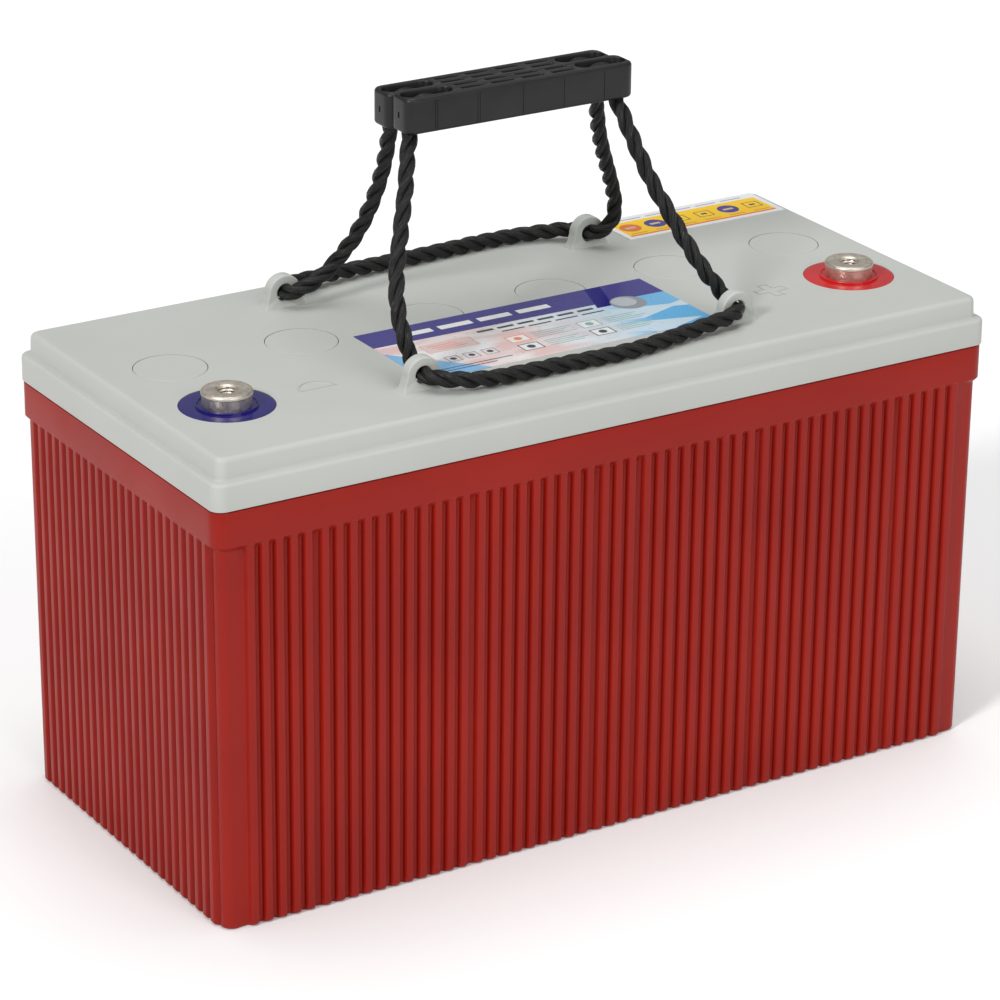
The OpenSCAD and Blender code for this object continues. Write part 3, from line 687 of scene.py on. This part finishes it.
WALL_X = RIM_X - 1.8 * MM
WALL_Y = RIM_Y - 1.8 * MM
CORNER_R = 4 * MM
RIB_HALF = 2.2 * MM
RIB_H = 1.6 * MM
GROOVE_SUNK = 0.5 * MM
FRONT_GROUPS = (5, 11, 9, 3, 9, 11, 5)
FRONT_PITCH, GROUP_GAP = 5.88 * MM, 6.85 * MM
SIDE_RIBS, SIDE_PITCH = 24, 5.97 * MM
DRAFT = 0.5 * MM
BOTTOM_R = 1.6 * MM
CHAMFER_LOW = SEAM_Z - 16.4 * MM
CHAMFER_HIGH = SEAM_Z - 13.9 * MM
SEAM_GAP = 0.4 * MM
TONGUE_H = 4 * MM
TONGUE_T = 3 * MM
CELLS = 6
PARTITION = 2.5 * MM
FLOOR = 3.5 * MM
INNER_X, INNER_Y = WALL_X - TONGUE_T, WALL_Y - TONGUE_T
CELL_LENGTH = (2 * INNER_X - (CELLS - 1) * PARTITION) / CELLS
ROLL_STEPS, WALL_STEPS, CORNER_STEPS = 6, 8, 8
# How far the foot draws in, as a share of its height
ROLL_SHARE = 0.8
# Angles above which the edges of the case, lid and grips are sharp
CASE_ANGLE, LID_ANGLE, GRIP_ANGLE = 40, 50, 38
# Half of a rib's section: share of its half width, share of its height
RIB_SECTION = ((1.12, 0), (1.0, 0.06), (0.93, 0.2), (0.66, 0.86), (0.6, 0.95), (0.5, 1.0), (0.25, 1.0))


def centred(places):
    middle = (places[0] + places[-1]) / 2
    return [p - middle for p in places]


def front_ribs():
    places, at = [], 0.0
    for group in FRONT_GROUPS:
        places += [at + FRONT_PITCH * k for k in range(group)]
        at = places[-1] + GROUP_GAP
    return centred(places)


def side_ribs():
    return centred([SIDE_PITCH * k for k in range(SIDE_RIBS)])


def wall_section(ribs):
    """Points along a wall from its left end: (distance from the middle, share of a rib's height)."""
    section = []
    for rib in ribs:
        section += [(rib - u * RIB_HALF, h) for u, h in RIB_SECTION]
        section.append((rib, 1.0))
        section += [(rib + u * RIB_HALF, h) for u, h in reversed(RIB_SECTION)]
    return section


def case_outline(inset, rib_height, least):
    """Outline of the case: walls moved in by inset, with ribs, and at least least outside them."""
    x, y = WALL_X - inset, WALL_Y - inset
    long_wall, short_wall = wall_section(front_ribs()), wall_section(side_ribs())
    sides = ((long_wall, y, 0), (short_wall, x, 1), (long_wall, y, 2), (short_wall, x, 3))
    outline = []
    for section, distance, quarter in sides:
        turn = quarter * math.pi / 2
        c, s = math.cos(turn), math.sin(turn)
        for along, share in section:
            out = -(distance + max(share * (rib_height + GROOVE_SUNK) - GROOVE_SUNK, least))
            outline.append((along * c - out * s, along * s + out * c))
        half = (x if quarter % 2 == 0 else y) - CORNER_R
        radius = CORNER_R + max(least, 0)
        for i in range(CORNER_STEPS + 1):
            a = -math.pi / 2 + math.pi / 2 * i / CORNER_STEPS
            px = half + radius * math.cos(a)
            py = -(distance - CORNER_R) + radius * math.sin(a)
            outline.append((px * c - py * s, px * s + py * c))
    return outline


def cell_middles():
    return [(i - (CELLS - 1) / 2) * (CELL_LENGTH + PARTITION) for i in range(CELLS)]


def case_rings():
    """Outlines of the case, from its rounded foot up to the tongue that stands in the lid."""
    rings = []
    for i in range(ROLL_STEPS + 1):
        a = math.pi / 2 * i / ROLL_STEPS
        inset = DRAFT + BOTTOM_R * ROLL_SHARE * (1 - math.sin(a))
        outline = case_outline(inset, RIB_H * math.sin(a), -GROOVE_SUNK * math.sin(a))
        rings.append(level(outline, BOTTOM_R * (1 - math.cos(a))))
    for i in range(1, WALL_STEPS + 1):
        share = i / WALL_STEPS
        z = BOTTOM_R + (CHAMFER_LOW - BOTTOM_R) * share
        rings.append(level(case_outline(DRAFT * (1 - share), RIB_H, -GROOVE_SUNK), z))
    proud = RIM_X - WALL_X
    for i in range(1, WALL_STEPS + 1):
        share = i / WALL_STEPS
        z = CHAMFER_LOW + (CHAMFER_HIGH - CHAMFER_LOW) * share
        least = (proud + GROOVE_SUNK) * share - GROOVE_SUNK
        rings.append(level(case_outline(0, RIB_H, least), z))
    rim_top = SEAM_Z - SEAM_GAP
    for z, least in (
        (CHAMFER_HIGH + 0.4 * MM, proud), (rim_top - 0.3 * MM, proud),
        (rim_top - 0.1 * MM, proud - 0.08 * MM), (rim_top, proud - 0.3 * MM),
        (rim_top, 0), (SEAM_Z + TONGUE_H, 0),
    ):
        rings.append(level(case_outline(0, 0, least), z))
    return rings


def make_case():
    case = loft("case_shell", case_rings(), CASE_ANGLE)
    top = SEAM_Z + TONGUE_H + MM
    half = CELL_LENGTH / 2
    cells = [rounded_block("cell", half, INNER_Y, MM, FLOOR, top, (x, 0), 3) for x in cell_middles()]
    combine(case, cells, angle=CASE_ANGLE)
    mouth = rounded_block("mouth", INNER_X - MM, INNER_Y, 0.5 * MM, SEAM_Z, top, steps=2)
    combine(case, [mouth], angle=CASE_ANGLE)
    place(case, "root", "case_red", RED, "case")


make_case()

# ---- Lid ----

SKIRT_TOP = SEAM_Z + 10.4 * MM
VENT_R = 14.05 * MM
VENT_DEPTH, VENT_EDGE = 1.6 * MM, 0.25 * MM
LID_CORNER_R, CORNER_SHRINK = 5 * MM, 0.4
LID_WALL, LID_FLOOR_T = 2.5 * MM, 4 * MM
GROOVE_H, GROOVE_GAP = 6.5 * MM, 0.25 * MM
WELL_R, WELL_DEPTH, WELL_FLOOR = 8 * MM, 7 * MM, 5 * MM
CHIMNEY_R, CHIMNEY_H, CHIMNEY_BORE = 4.6 * MM, 5.5 * MM, 2 * MM
POST_R, POST_DROP = 9.5 * MM, 13.5 * MM
SEAT_R, SEAT_DEPTH, SOCKET_BOSS_R = 17.9 * MM, 2 * MM, 20 * MM
RING_R, RING_DROP = 1.2 * MM, 10.3 * MM


def drum(radius, z0, z1, centre, steps=64):
    return turned("drum", [(0, z0), (radius, z0), (radius, z1), (0, z1)], centre, steps)


def raised_outline(name, corners, width, height, z):
    """A thin raised line round a closed outline on the lid."""
    rings, count = [], len(corners)
    for i in range(count):
        before, here, after = corners[i - 1], corners[i], corners[(i + 1) % count]
        a, b = (here - before).normalized(), (after - here).normalized()
        out = Vector((a.y + b.y, -a.x - b.x)).normalized()
        out *= width / 2 / max(0.4, out.dot(Vector((a.y, -a.x))))
        outer, inner = here + out, here - out
        rings.append([
            Vector((outer.x, outer.y, z)), Vector((inner.x, inner.y, z)),
            Vector((inner.x, inner.y, z + height)), Vector((outer.x, outer.y, z + height)),
        ])
    return loft(name, rings, 30, closed_path=True)


def plus_outline(centre, reach, half_arm):
    """Corners of a plus sign."""
    corners = []
    for turn in range(4):
        a = math.pi / 2 * turn
        c, s = math.cos(a), math.sin(a)
        for u, v in ((half_arm, -half_arm), (reach, -half_arm), (reach, half_arm)):
            corners.append(Vector((centre[0] + u * c - v * s, centre[1] + u * s + v * c)))
    return corners


def lid_shell():
    """The outside of the lid, from the seam up: profile is (inset in millimetres, height)."""
    profile = [
        (0.35, SEAM_Z), (0.1, SEAM_Z + 0.12 * MM), (0.0, SEAM_Z + 0.4 * MM), (0.05, SKIRT_TOP - 1.2 * MM),
        (0.15, SKIRT_TOP - 0.7 * MM), (0.45, SKIRT_TOP - 0.25 * MM), (0.95, SKIRT_TOP),
        (1.9, SKIRT_TOP + 0.1 * MM), (2.45, SKIRT_TOP + 0.3 * MM), (2.8, SKIRT_TOP + 0.8 * MM),
        (2.9, SKIRT_TOP + 1.4 * MM), (3.1, LID_TOP - 2 * MM), (3.25, LID_TOP - 1.2 * MM),
        (3.7, LID_TOP - 0.5 * MM), (4.4, LID_TOP - 0.1 * MM), (5.2, LID_TOP),
    ]
    rings = []
    for inset, z in profile:
        half_x, half_y = LID_X - inset * MM, LID_Y - inset * MM
        radius = max(LID_CORNER_R - inset * MM * CORNER_SHRINK, MM)
        rings.append(level(rounded_rect(half_x, half_y, radius, 10), z))
    return loft("lid_shell", rings, LID_ANGLE)


def lid_hollows():
    """The room over each cell and the groove that the case's tongue stands in."""
    top = LID_TOP - LID_FLOOR_T
    half_x, half_y = CELL_LENGTH / 2 - LID_WALL, INNER_Y - LID_WALL
    hollows = [
        rounded_block("hollow", half_x, half_y, 2 * MM, SEAM_Z - MM, top, (x, 0), 4)
        for x in cell_middles()
    ]
    high = SEAM_Z + GROOVE_H
    groove_x, groove_y = WALL_X + GROOVE_GAP, WALL_Y + GROOVE_GAP
    core_x, core_y = INNER_X - GROOVE_GAP, INNER_Y - GROOVE_GAP
    groove = rounded_block("groove", groove_x, groove_y, CORNER_R, SEAM_Z - MM, high)
    core = rounded_block("core", core_x, core_y, MM, SEAM_Z - 2 * MM, high + MM)
    return hollows + [combine(groove, [core])]


def vent_cutter(centre):
    """One turned cutter: a chimney's bore, the well round it and the seat of its cover."""
    low = LID_TOP - VENT_DEPTH - WELL_DEPTH
    seat, above = LID_TOP - VENT_DEPTH, LID_TOP + MM
    return turned("vent_cut", [
        (0, low - WELL_FLOOR - MM), (CHIMNEY_BORE, low - WELL_FLOOR - MM),
        (CHIMNEY_BORE, low + CHIMNEY_H), (CHIMNEY_R, low + CHIMNEY_H), (CHIMNEY_R, low),
        (WELL_R, low), (WELL_R, seat), (VENT_R, seat), (VENT_R, above), (0, above),
    ], centre)


def socket_cutter(centre):
    """A post's bore with the groove of its O-ring, and the seat of the sealing disc."""
    bore = POST_R + 0.1 * MM
    ring_out = POST_R + 2 * RING_R + 0.05 * MM
    ring_mid, half = LID_TOP - RING_DROP, RING_R + 0.05 * MM
    foot, seat, above = LID_TOP - POST_DROP - MM, LID_TOP - SEAT_DEPTH, LID_TOP + MM
    return turned("socket_cut", [
        (0, foot), (bore, foot), (bore, ring_mid - half), (ring_out, ring_mid - half),
        (ring_out, ring_mid + half), (bore, ring_mid + half), (bore, seat), (SEAT_R, seat),
        (SEAT_R, above), (0, above),
    ], centre)


def make_lid():
    lid = combine(lid_shell(), lid_hollows(), angle=LID_ANGLE)
    vents = [middle_of(f"vent_cover_{i}") for i in range(1, CELLS + 1)]
    posts = [middle_of(f"{pole}_terminal") for pole in ("negative", "positive")]
    well_low = LID_TOP - VENT_DEPTH - WELL_DEPTH
    bosses = [drum(WELL_R + 2.5 * MM, well_low - WELL_FLOOR, LID_TOP - MM, c) for c in vents]
    bosses += [drum(SOCKET_BOSS_R, LID_TOP - POST_DROP, LID_TOP - MM, c) for c in posts]
    combine(lid, bosses, "UNION", LID_ANGLE)
    cutters = [vent_cutter(c) for c in vents] + [socket_cutter(c) for c in posts]
    combine(lid, cutters, angle=LID_ANGLE)
    place(lid, "root", "lid_grey", GREY, "lid")


make_lid()


def make_polarity_marks():
    z = LID_TOP - 0.05 * MM
    y = middle_of("negative_terminal")[1] + MM
    x, line, height = 102 * MM, 0.55 * MM, 0.34 * MM
    arc = [math.pi * k / 24 for k in range(25)]
    minus = [Vector((7.3 * MM * math.cos(a) - x, y - 3.2 * MM + 7 * MM * math.sin(a))) for a in arc]
    minus = raised_outline("minus_mark", minus, line, height, z)
    plus = raised_outline("plus_mark", plus_outline((x, y), 6.5 * MM, 1.9 * MM), line, height, z)
    for mark in (minus, plus):
        place(mark, "root", "lid_grey", GREY)


make_polarity_marks()


def make_vent_covers():
    for i in range(1, CELLS + 1):
        node = f"vent_cover_{i}"
        low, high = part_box(node)
        r, e = (high.x - low.x) / 2, VENT_EDGE
        profile = [
            (0, low.z), (r, low.z), (r, high.z - e), (r - e * 0.3, high.z - e * 0.3),
            (r - e, high.z), (0, high.z),
        ]
        cover = turned(f"vent_disc_{i}", profile, middle_of(node), 96, 12)
        place(cover, "root", "lid_grey", GREY, node)


make_vent_covers()


# Rope eyes: hole, round top and half foot, half thickness, rounding and flare
EYE_HOLE_Z, EYE_HOLE_R = 5.6 * MM, 3.4 * MM
EYE_TOP_R, EYE_FOOT = 6.9 * MM, 8.5 * MM
EYE_HALF_T, EYE_EDGE, EYE_SUNK = 2.45 * MM, 0.6 * MM, 0.3 * MM
EYE_FLARE, EYE_FLARE_H = 0.9 * MM, 1.8 * MM
EYE_SIDES, EYE_EDGE_STEPS = 72, 6


def eye_reach(c, s):
    """How far an eye's outline is from its hole's centre, in the direction with that cosine and sine."""
    if s >= 0:
        return EYE_TOP_R
    down = (EYE_HOLE_Z + EYE_SUNK) / -s
    slope = (EYE_FOOT - EYE_TOP_R) / EYE_HOLE_Z
    return min(down, EYE_TOP_R / max(abs(c) + slope * s, 1e-6))


def eye_section(reach):
    """Section of an eye's ring as (radius, y), round at its four edges."""
    section = []
    for radius, sy, start in (
        (reach - EYE_EDGE, 1, 0), (EYE_HOLE_R + EYE_EDGE, 1, 90),
        (EYE_HOLE_R + EYE_EDGE, -1, 180), (reach - EYE_EDGE, -1, 270),
    ):
        for i in range(EYE_EDGE_STEPS + 1):
            a = math.radians(start + 90 * i / EYE_EDGE_STEPS)
            y = sy * (EYE_HALF_T - EYE_EDGE) + EYE_EDGE * math.sin(a)
            section.append((radius + EYE_EDGE * math.cos(a), y))
    return section


def rope_eye(name, x, y):
    """A moulded eye: a thick ring with a flat foot, flared where it meets the lid."""
    rings = []
    for k in range(EYE_SIDES):
        a = 2 * math.pi * k / EYE_SIDES - math.pi / 2
        c, s = math.cos(a), math.sin(a)
        ring = []
        for radius, dy in eye_section(eye_reach(c, s)):
            dx, dz = radius * c, EYE_HOLE_Z + radius * s
            low = max(0.0, 1 - max(dz, 0) / EYE_FLARE_H)
            if abs(dy) > EYE_HALF_T * 0.6:
                dy += math.copysign(EYE_FLARE * low * low, dy)
            if abs(dx) > EYE_FOOT * 0.8:
                dx += math.copysign(EYE_FLARE * low * low, dx)
            ring.append(Vector((x + dx, y + dy, LID_TOP + max(dz, -EYE_SUNK))))
        rings.append(ring)
    return loft(name, rings, 60, closed_path=True)


def make_eyes():
    low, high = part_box("rope_eyes")
    x = (high.x - low.x) / 2 - EYE_FOOT
    for side_name, sx in (("left", -1), ("right", 1)):
        for depth_name, y in (("front", low.y + EYE_HALF_T), ("rear", high.y - EYE_HALF_T)):
            eye = rope_eye(f"rope_eye_{depth_name}_{side_name}", sx * x, y)
            place(eye, "root", "lid_grey", GREY)
    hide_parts("rope_eyes")


make_eyes()

# ---- Terminals ----

THREAD_R, THREAD_PITCH, THREAD_H = 3.4 * MM, 1.25 * MM, 0.55 * MM
BORE_DEPTH = 15 * MM
POST_H = 6.2 * MM
FLANGE_R, FLANGE_T = 13 * MM, 0.8 * MM
COLLAR_R, COLLAR_H = 11.6 * MM, 0.8 * MM
POST_SIDES, THREAD_RINGS = 72, 96
BORE_EDGE = 0.7 * MM
THREAD_ROOT, THREAD_SHARE = THREAD_R + 0.3 * MM, 0.6


def make_post(pole):
    """A turned post with a flange under the resin, a lip round its top and a threaded hole."""
    middle = middle_of(pole + "_terminal")
    profile = [
        (POST_R, -POST_DROP), (POST_R, -SEAT_DEPTH), (FLANGE_R, -SEAT_DEPTH),
        (FLANGE_R, FLANGE_T - SEAT_DEPTH), (9.25 * MM, FLANGE_T - SEAT_DEPTH),
        (9.2 * MM, 4.1 * MM), (9.3 * MM, 4.5 * MM), (9.52 * MM, 4.7 * MM),
        (9.56 * MM, 5.4 * MM), (9.4 * MM, 5.8 * MM), (8.95 * MM, POST_H - 0.04 * MM), (8.6 * MM, POST_H),
        (4.5 * MM, POST_H), (4.2 * MM, POST_H - 0.12 * MM), (3.7 * MM, POST_H - BORE_EDGE),
    ]
    turns = [2 * math.pi * k / POST_SIDES for k in range(POST_SIDES)]
    rings = [[on_circle(middle, r, a, LID_TOP + z) for a in turns] for r, z in profile]
    depth = BORE_DEPTH - BORE_EDGE
    for i in range(THREAD_RINGS + 1):
        z = POST_H - BORE_EDGE - depth * i / THREAD_RINGS
        ring = []
        for k, a in enumerate(turns):
            share = (z / THREAD_PITCH + k / POST_SIDES) % 1
            ridge = 1 - abs(2 * share - 1)
            ring.append(on_circle(middle, THREAD_ROOT - THREAD_H * ridge * THREAD_SHARE, a, LID_TOP + z))
        rings.append(ring)
    post = loft(pole + "_post", rings, 32)
    place(post, "root", "terminal_metal", METAL, pole + "_terminal")


def make_seal_disc(pole, slot, material):
    """Resin poured round a post: level with the lid, with a raised ring and a soft meniscus."""
    low = 0.02 * MM - SEAT_DEPTH
    step = low + FLANGE_T
    inner, outer = 9.3 * MM, SEAT_R - 0.05 * MM
    flange = FLANGE_R + 0.02 * MM
    profile = [
        (inner, 0.25 * MM), (inner + 0.5 * MM, 0.1 * MM), (COLLAR_R - 0.9 * MM, 0.2 * MM),
        (COLLAR_R - 0.45 * MM, COLLAR_H), (COLLAR_R - 0.15 * MM, COLLAR_H - 0.08 * MM),
        (COLLAR_R, COLLAR_H - 0.25 * MM), (COLLAR_R + 0.02 * MM, 0.06 * MM),
        (COLLAR_R + 0.1 * MM, -0.04 * MM), (COLLAR_R + 1.2 * MM, -0.04 * MM),
        (outer - 0.8 * MM, -0.04 * MM), (outer - 0.25 * MM, -0.1 * MM), (outer, -0.35 * MM),
        (outer, low), (flange, low), (flange, step), (inner, step),
    ]
    profile = [(r, LID_TOP + z) for r, z in profile]
    disc = turned_ring(pole + "_disc", profile, middle_of(pole + "_terminal"), 96, 28)
    place(disc, "root", slot, material, pole + "_seal_disc")


make_post("negative")
make_post("positive")
make_seal_disc("negative", "seal_blue", BLUE)
make_seal_disc("positive", "seal_red", SEAL_RED)

# ---- Grips ----

GRIP_CORNER, GRIP_EDGE = 4 * MM, 1.4 * MM
ROPE_HOLE_R = 3.7 * MM
BRIDGE_R, BRIDGE_SUNK = 3 * MM, 0.6 * MM
SLOT_HALF_X, SLOT_HALF_Y, SLOT_DEPTH = 4.75 * MM, 0.95 * MM, 9 * MM
SLOT_PITCH, SLOT_ROW_Y = 13.3 * MM, 2.4 * MM
# Fine lines across the grip's sides, in millimetres from its middle
PANEL_LINES = (-38.4, -37.4, -20, -19, 0, 18, 36)


def flared_cut(half_x, half_y, radius, z0, z1, centre, flare):
    """A pocket cutter that widens at the top, so that the pocket gets a bevelled edge."""
    rings = []
    for grow, z in ((0, z0), (0, z1 - flare), (flare * 0.3, z1 - flare * 0.3), (flare * 1.2, z1 + 0.2 * flare)):
        outline = rounded_rect(half_x + grow, half_y + grow, radius + grow, 6)
        rings.append(level(outline, z, centre))
    return loft("pocket", rings)


def make_grip(node):
    low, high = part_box(node)
    x, y = middle_of(node)
    half_x, half_y = (high.x - low.x) / 2, (high.y - low.y) / 2
    rings = []
    for base, sign in ((low.z, 1), (high.z, -1)):
        edge = []
        for i in range(6):
            a = math.pi / 2 * i / 5
            inset = GRIP_EDGE * (1 - math.sin(a))
            outline = rounded_rect(half_x - inset, half_y - inset, GRIP_CORNER - inset, 8)
            edge.append(level(outline, base + sign * GRIP_EDGE * (1 - math.cos(a)), (x, y)))
        rings += edge if sign > 0 else edge[::-1]
    grip = loft(node + "_body", rings)
    cutters, bridges = [], []
    for s in (-1, 1):
        middle = x + s * TURN_X
        pocket, floor = TURN_HALF_X + ROPE_HOLE_R, low.z + ROPE_BEND_Z
        cutters.append(flared_cut(
            pocket, ROPE_HOLE_R, ROPE_HOLE_R - 0.02 * MM, floor, high.z, (middle, y), 0.5 * MM
        ))
        cutters.append(drum(ROPE_HOLE_R, low.z - MM, floor + MM, (x + s * ROPE_HOLE_X, y), 32))
        cutters.append(drum(ROPE_HOLE_R, low.z + TUCK_FLOOR, floor + MM, (x + s * TUCK_HOLE_X, y), 32))
        rail = []
        foot = floor - BRIDGE_SUNK
        for side in (ROPE_HOLE_R + 0.5 * MM, -ROPE_HOLE_R - 0.5 * MM):
            arc = []
            for i in range(15):
                a = math.pi * (i / 14)
                along, up = BRIDGE_R * math.cos(a), (BRIDGE_R + BRIDGE_SUNK) * math.sin(a)
                arc.append(Vector((middle + along, y + side, foot + up)))
            rail.append(arc)
        bridges.append(loft("bridge", rail))
        cutters.append(rounded_block(
            "dent", 0.35 * MM, 0.6 * MM, 0.1 * MM, low.z + 5.6 * MM, low.z + 7.8 * MM,
            (x + s * half_x, y), 2,
        ))
    for k in (-1.5, -0.5, 0.5, 1.5):
        for row in (-1, 1):
            at = (x + k * SLOT_PITCH, y + row * SLOT_ROW_Y)
            cutters.append(flared_cut(
                SLOT_HALF_X, SLOT_HALF_Y, 0.6 * MM, high.z - SLOT_DEPTH, high.z, at, 0.3 * MM
            ))
    for line in PANEL_LINES:
        for side in (-1, 1):
            cutters.append(rounded_block(
                "line", 0.16 * MM, 0.2 * MM, 0.1 * MM, low.z - MM, high.z - GRIP_EDGE,
                (x + line * MM, y + side * half_y), 2,
            ))
    combine(grip, cutters, angle=GRIP_ANGLE)
    combine(grip, bridges, "UNION", GRIP_ANGLE)
    place(grip, node.replace("grip", "handle"), "grip_black", GRIP, node)


make_grip("front_grip")
make_grip("rear_grip")

# ---- Carried-over CAD nodes ----


def dress(name, material):
    """Gives a CAD node that stays in view its detailed material."""
    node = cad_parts[name]
    node.data.materials.clear()
    node.data.materials.append(material)


for i in range(1, CELLS + 1):
    dress(f"vent_valve_{i}", RUBBER)
    dress(f"positive_plates_{i}", PASTE)
    dress(f"negative_plates_{i}", LEAD)
    dress(f"glass_mats_{i}", MAT)
for name, material in {
    "lid_sealant": SEALANT, "negative_o_ring": RUBBER, "positive_o_ring": RUBBER,
    "negative_pillar": LEAD, "positive_pillar": LEAD, "cell_links": LEAD,
    "main_label": LABEL, "yellow_label": YELLOW_LABEL,
}.items():
    dress(name, material)

# ---- Floor, light and world ----


def make_stage():
    size = 6
    floor = new_object(
        "floor", [(-size, -size, 0), (size, -size, 0), (size, size, 0), (-size, size, 0)], [(0, 1, 2, 3)]
    )
    n = Nodes("floor_pale")
    where = n.place()
    n.set(Base_Color=n.mix(n.noise(where, 3), rgba(0.86, 0.86, 0.86), rgba(0.88, 0.88, 0.88)), Roughness=0.9)
    floor.data.materials.append(n.material)


def sun(name, place_at, strength, angle):
    """A broad, even light from the direction of place_at, so that the floor is lit alike all over."""
    data = bpy.data.lights.new(name, "SUN")
    data.energy = strength
    data.angle = math.radians(angle)
    light = bpy.data.objects.new(name, data)
    light.location = place_at
    light.rotation_euler = (-Vector(place_at)).to_track_quat("-Z", "Y").to_euler()
    bpy.context.scene.collection.objects.link(light)


def make_light():
    world = bpy.data.worlds.new("studio")
    world.use_nodes = True
    background = world.node_tree.nodes["Background"]
    background.inputs["Color"].default_value = rgba(1, 1, 1)
    background.inputs["Strength"].default_value = 0.32
    bpy.context.scene.world = world
    sun("key", (-1.6, -0.6, 1.1), 1.8, 12)
    sun("fill", (0.2, -1.8, 0.9), 1.0, 36)
    sun("top", (0.1, 0.2, 2.2), 1.6, 50)
    bpy.context.scene.view_settings.view_transform = "Standard"


make_stage()
make_light()
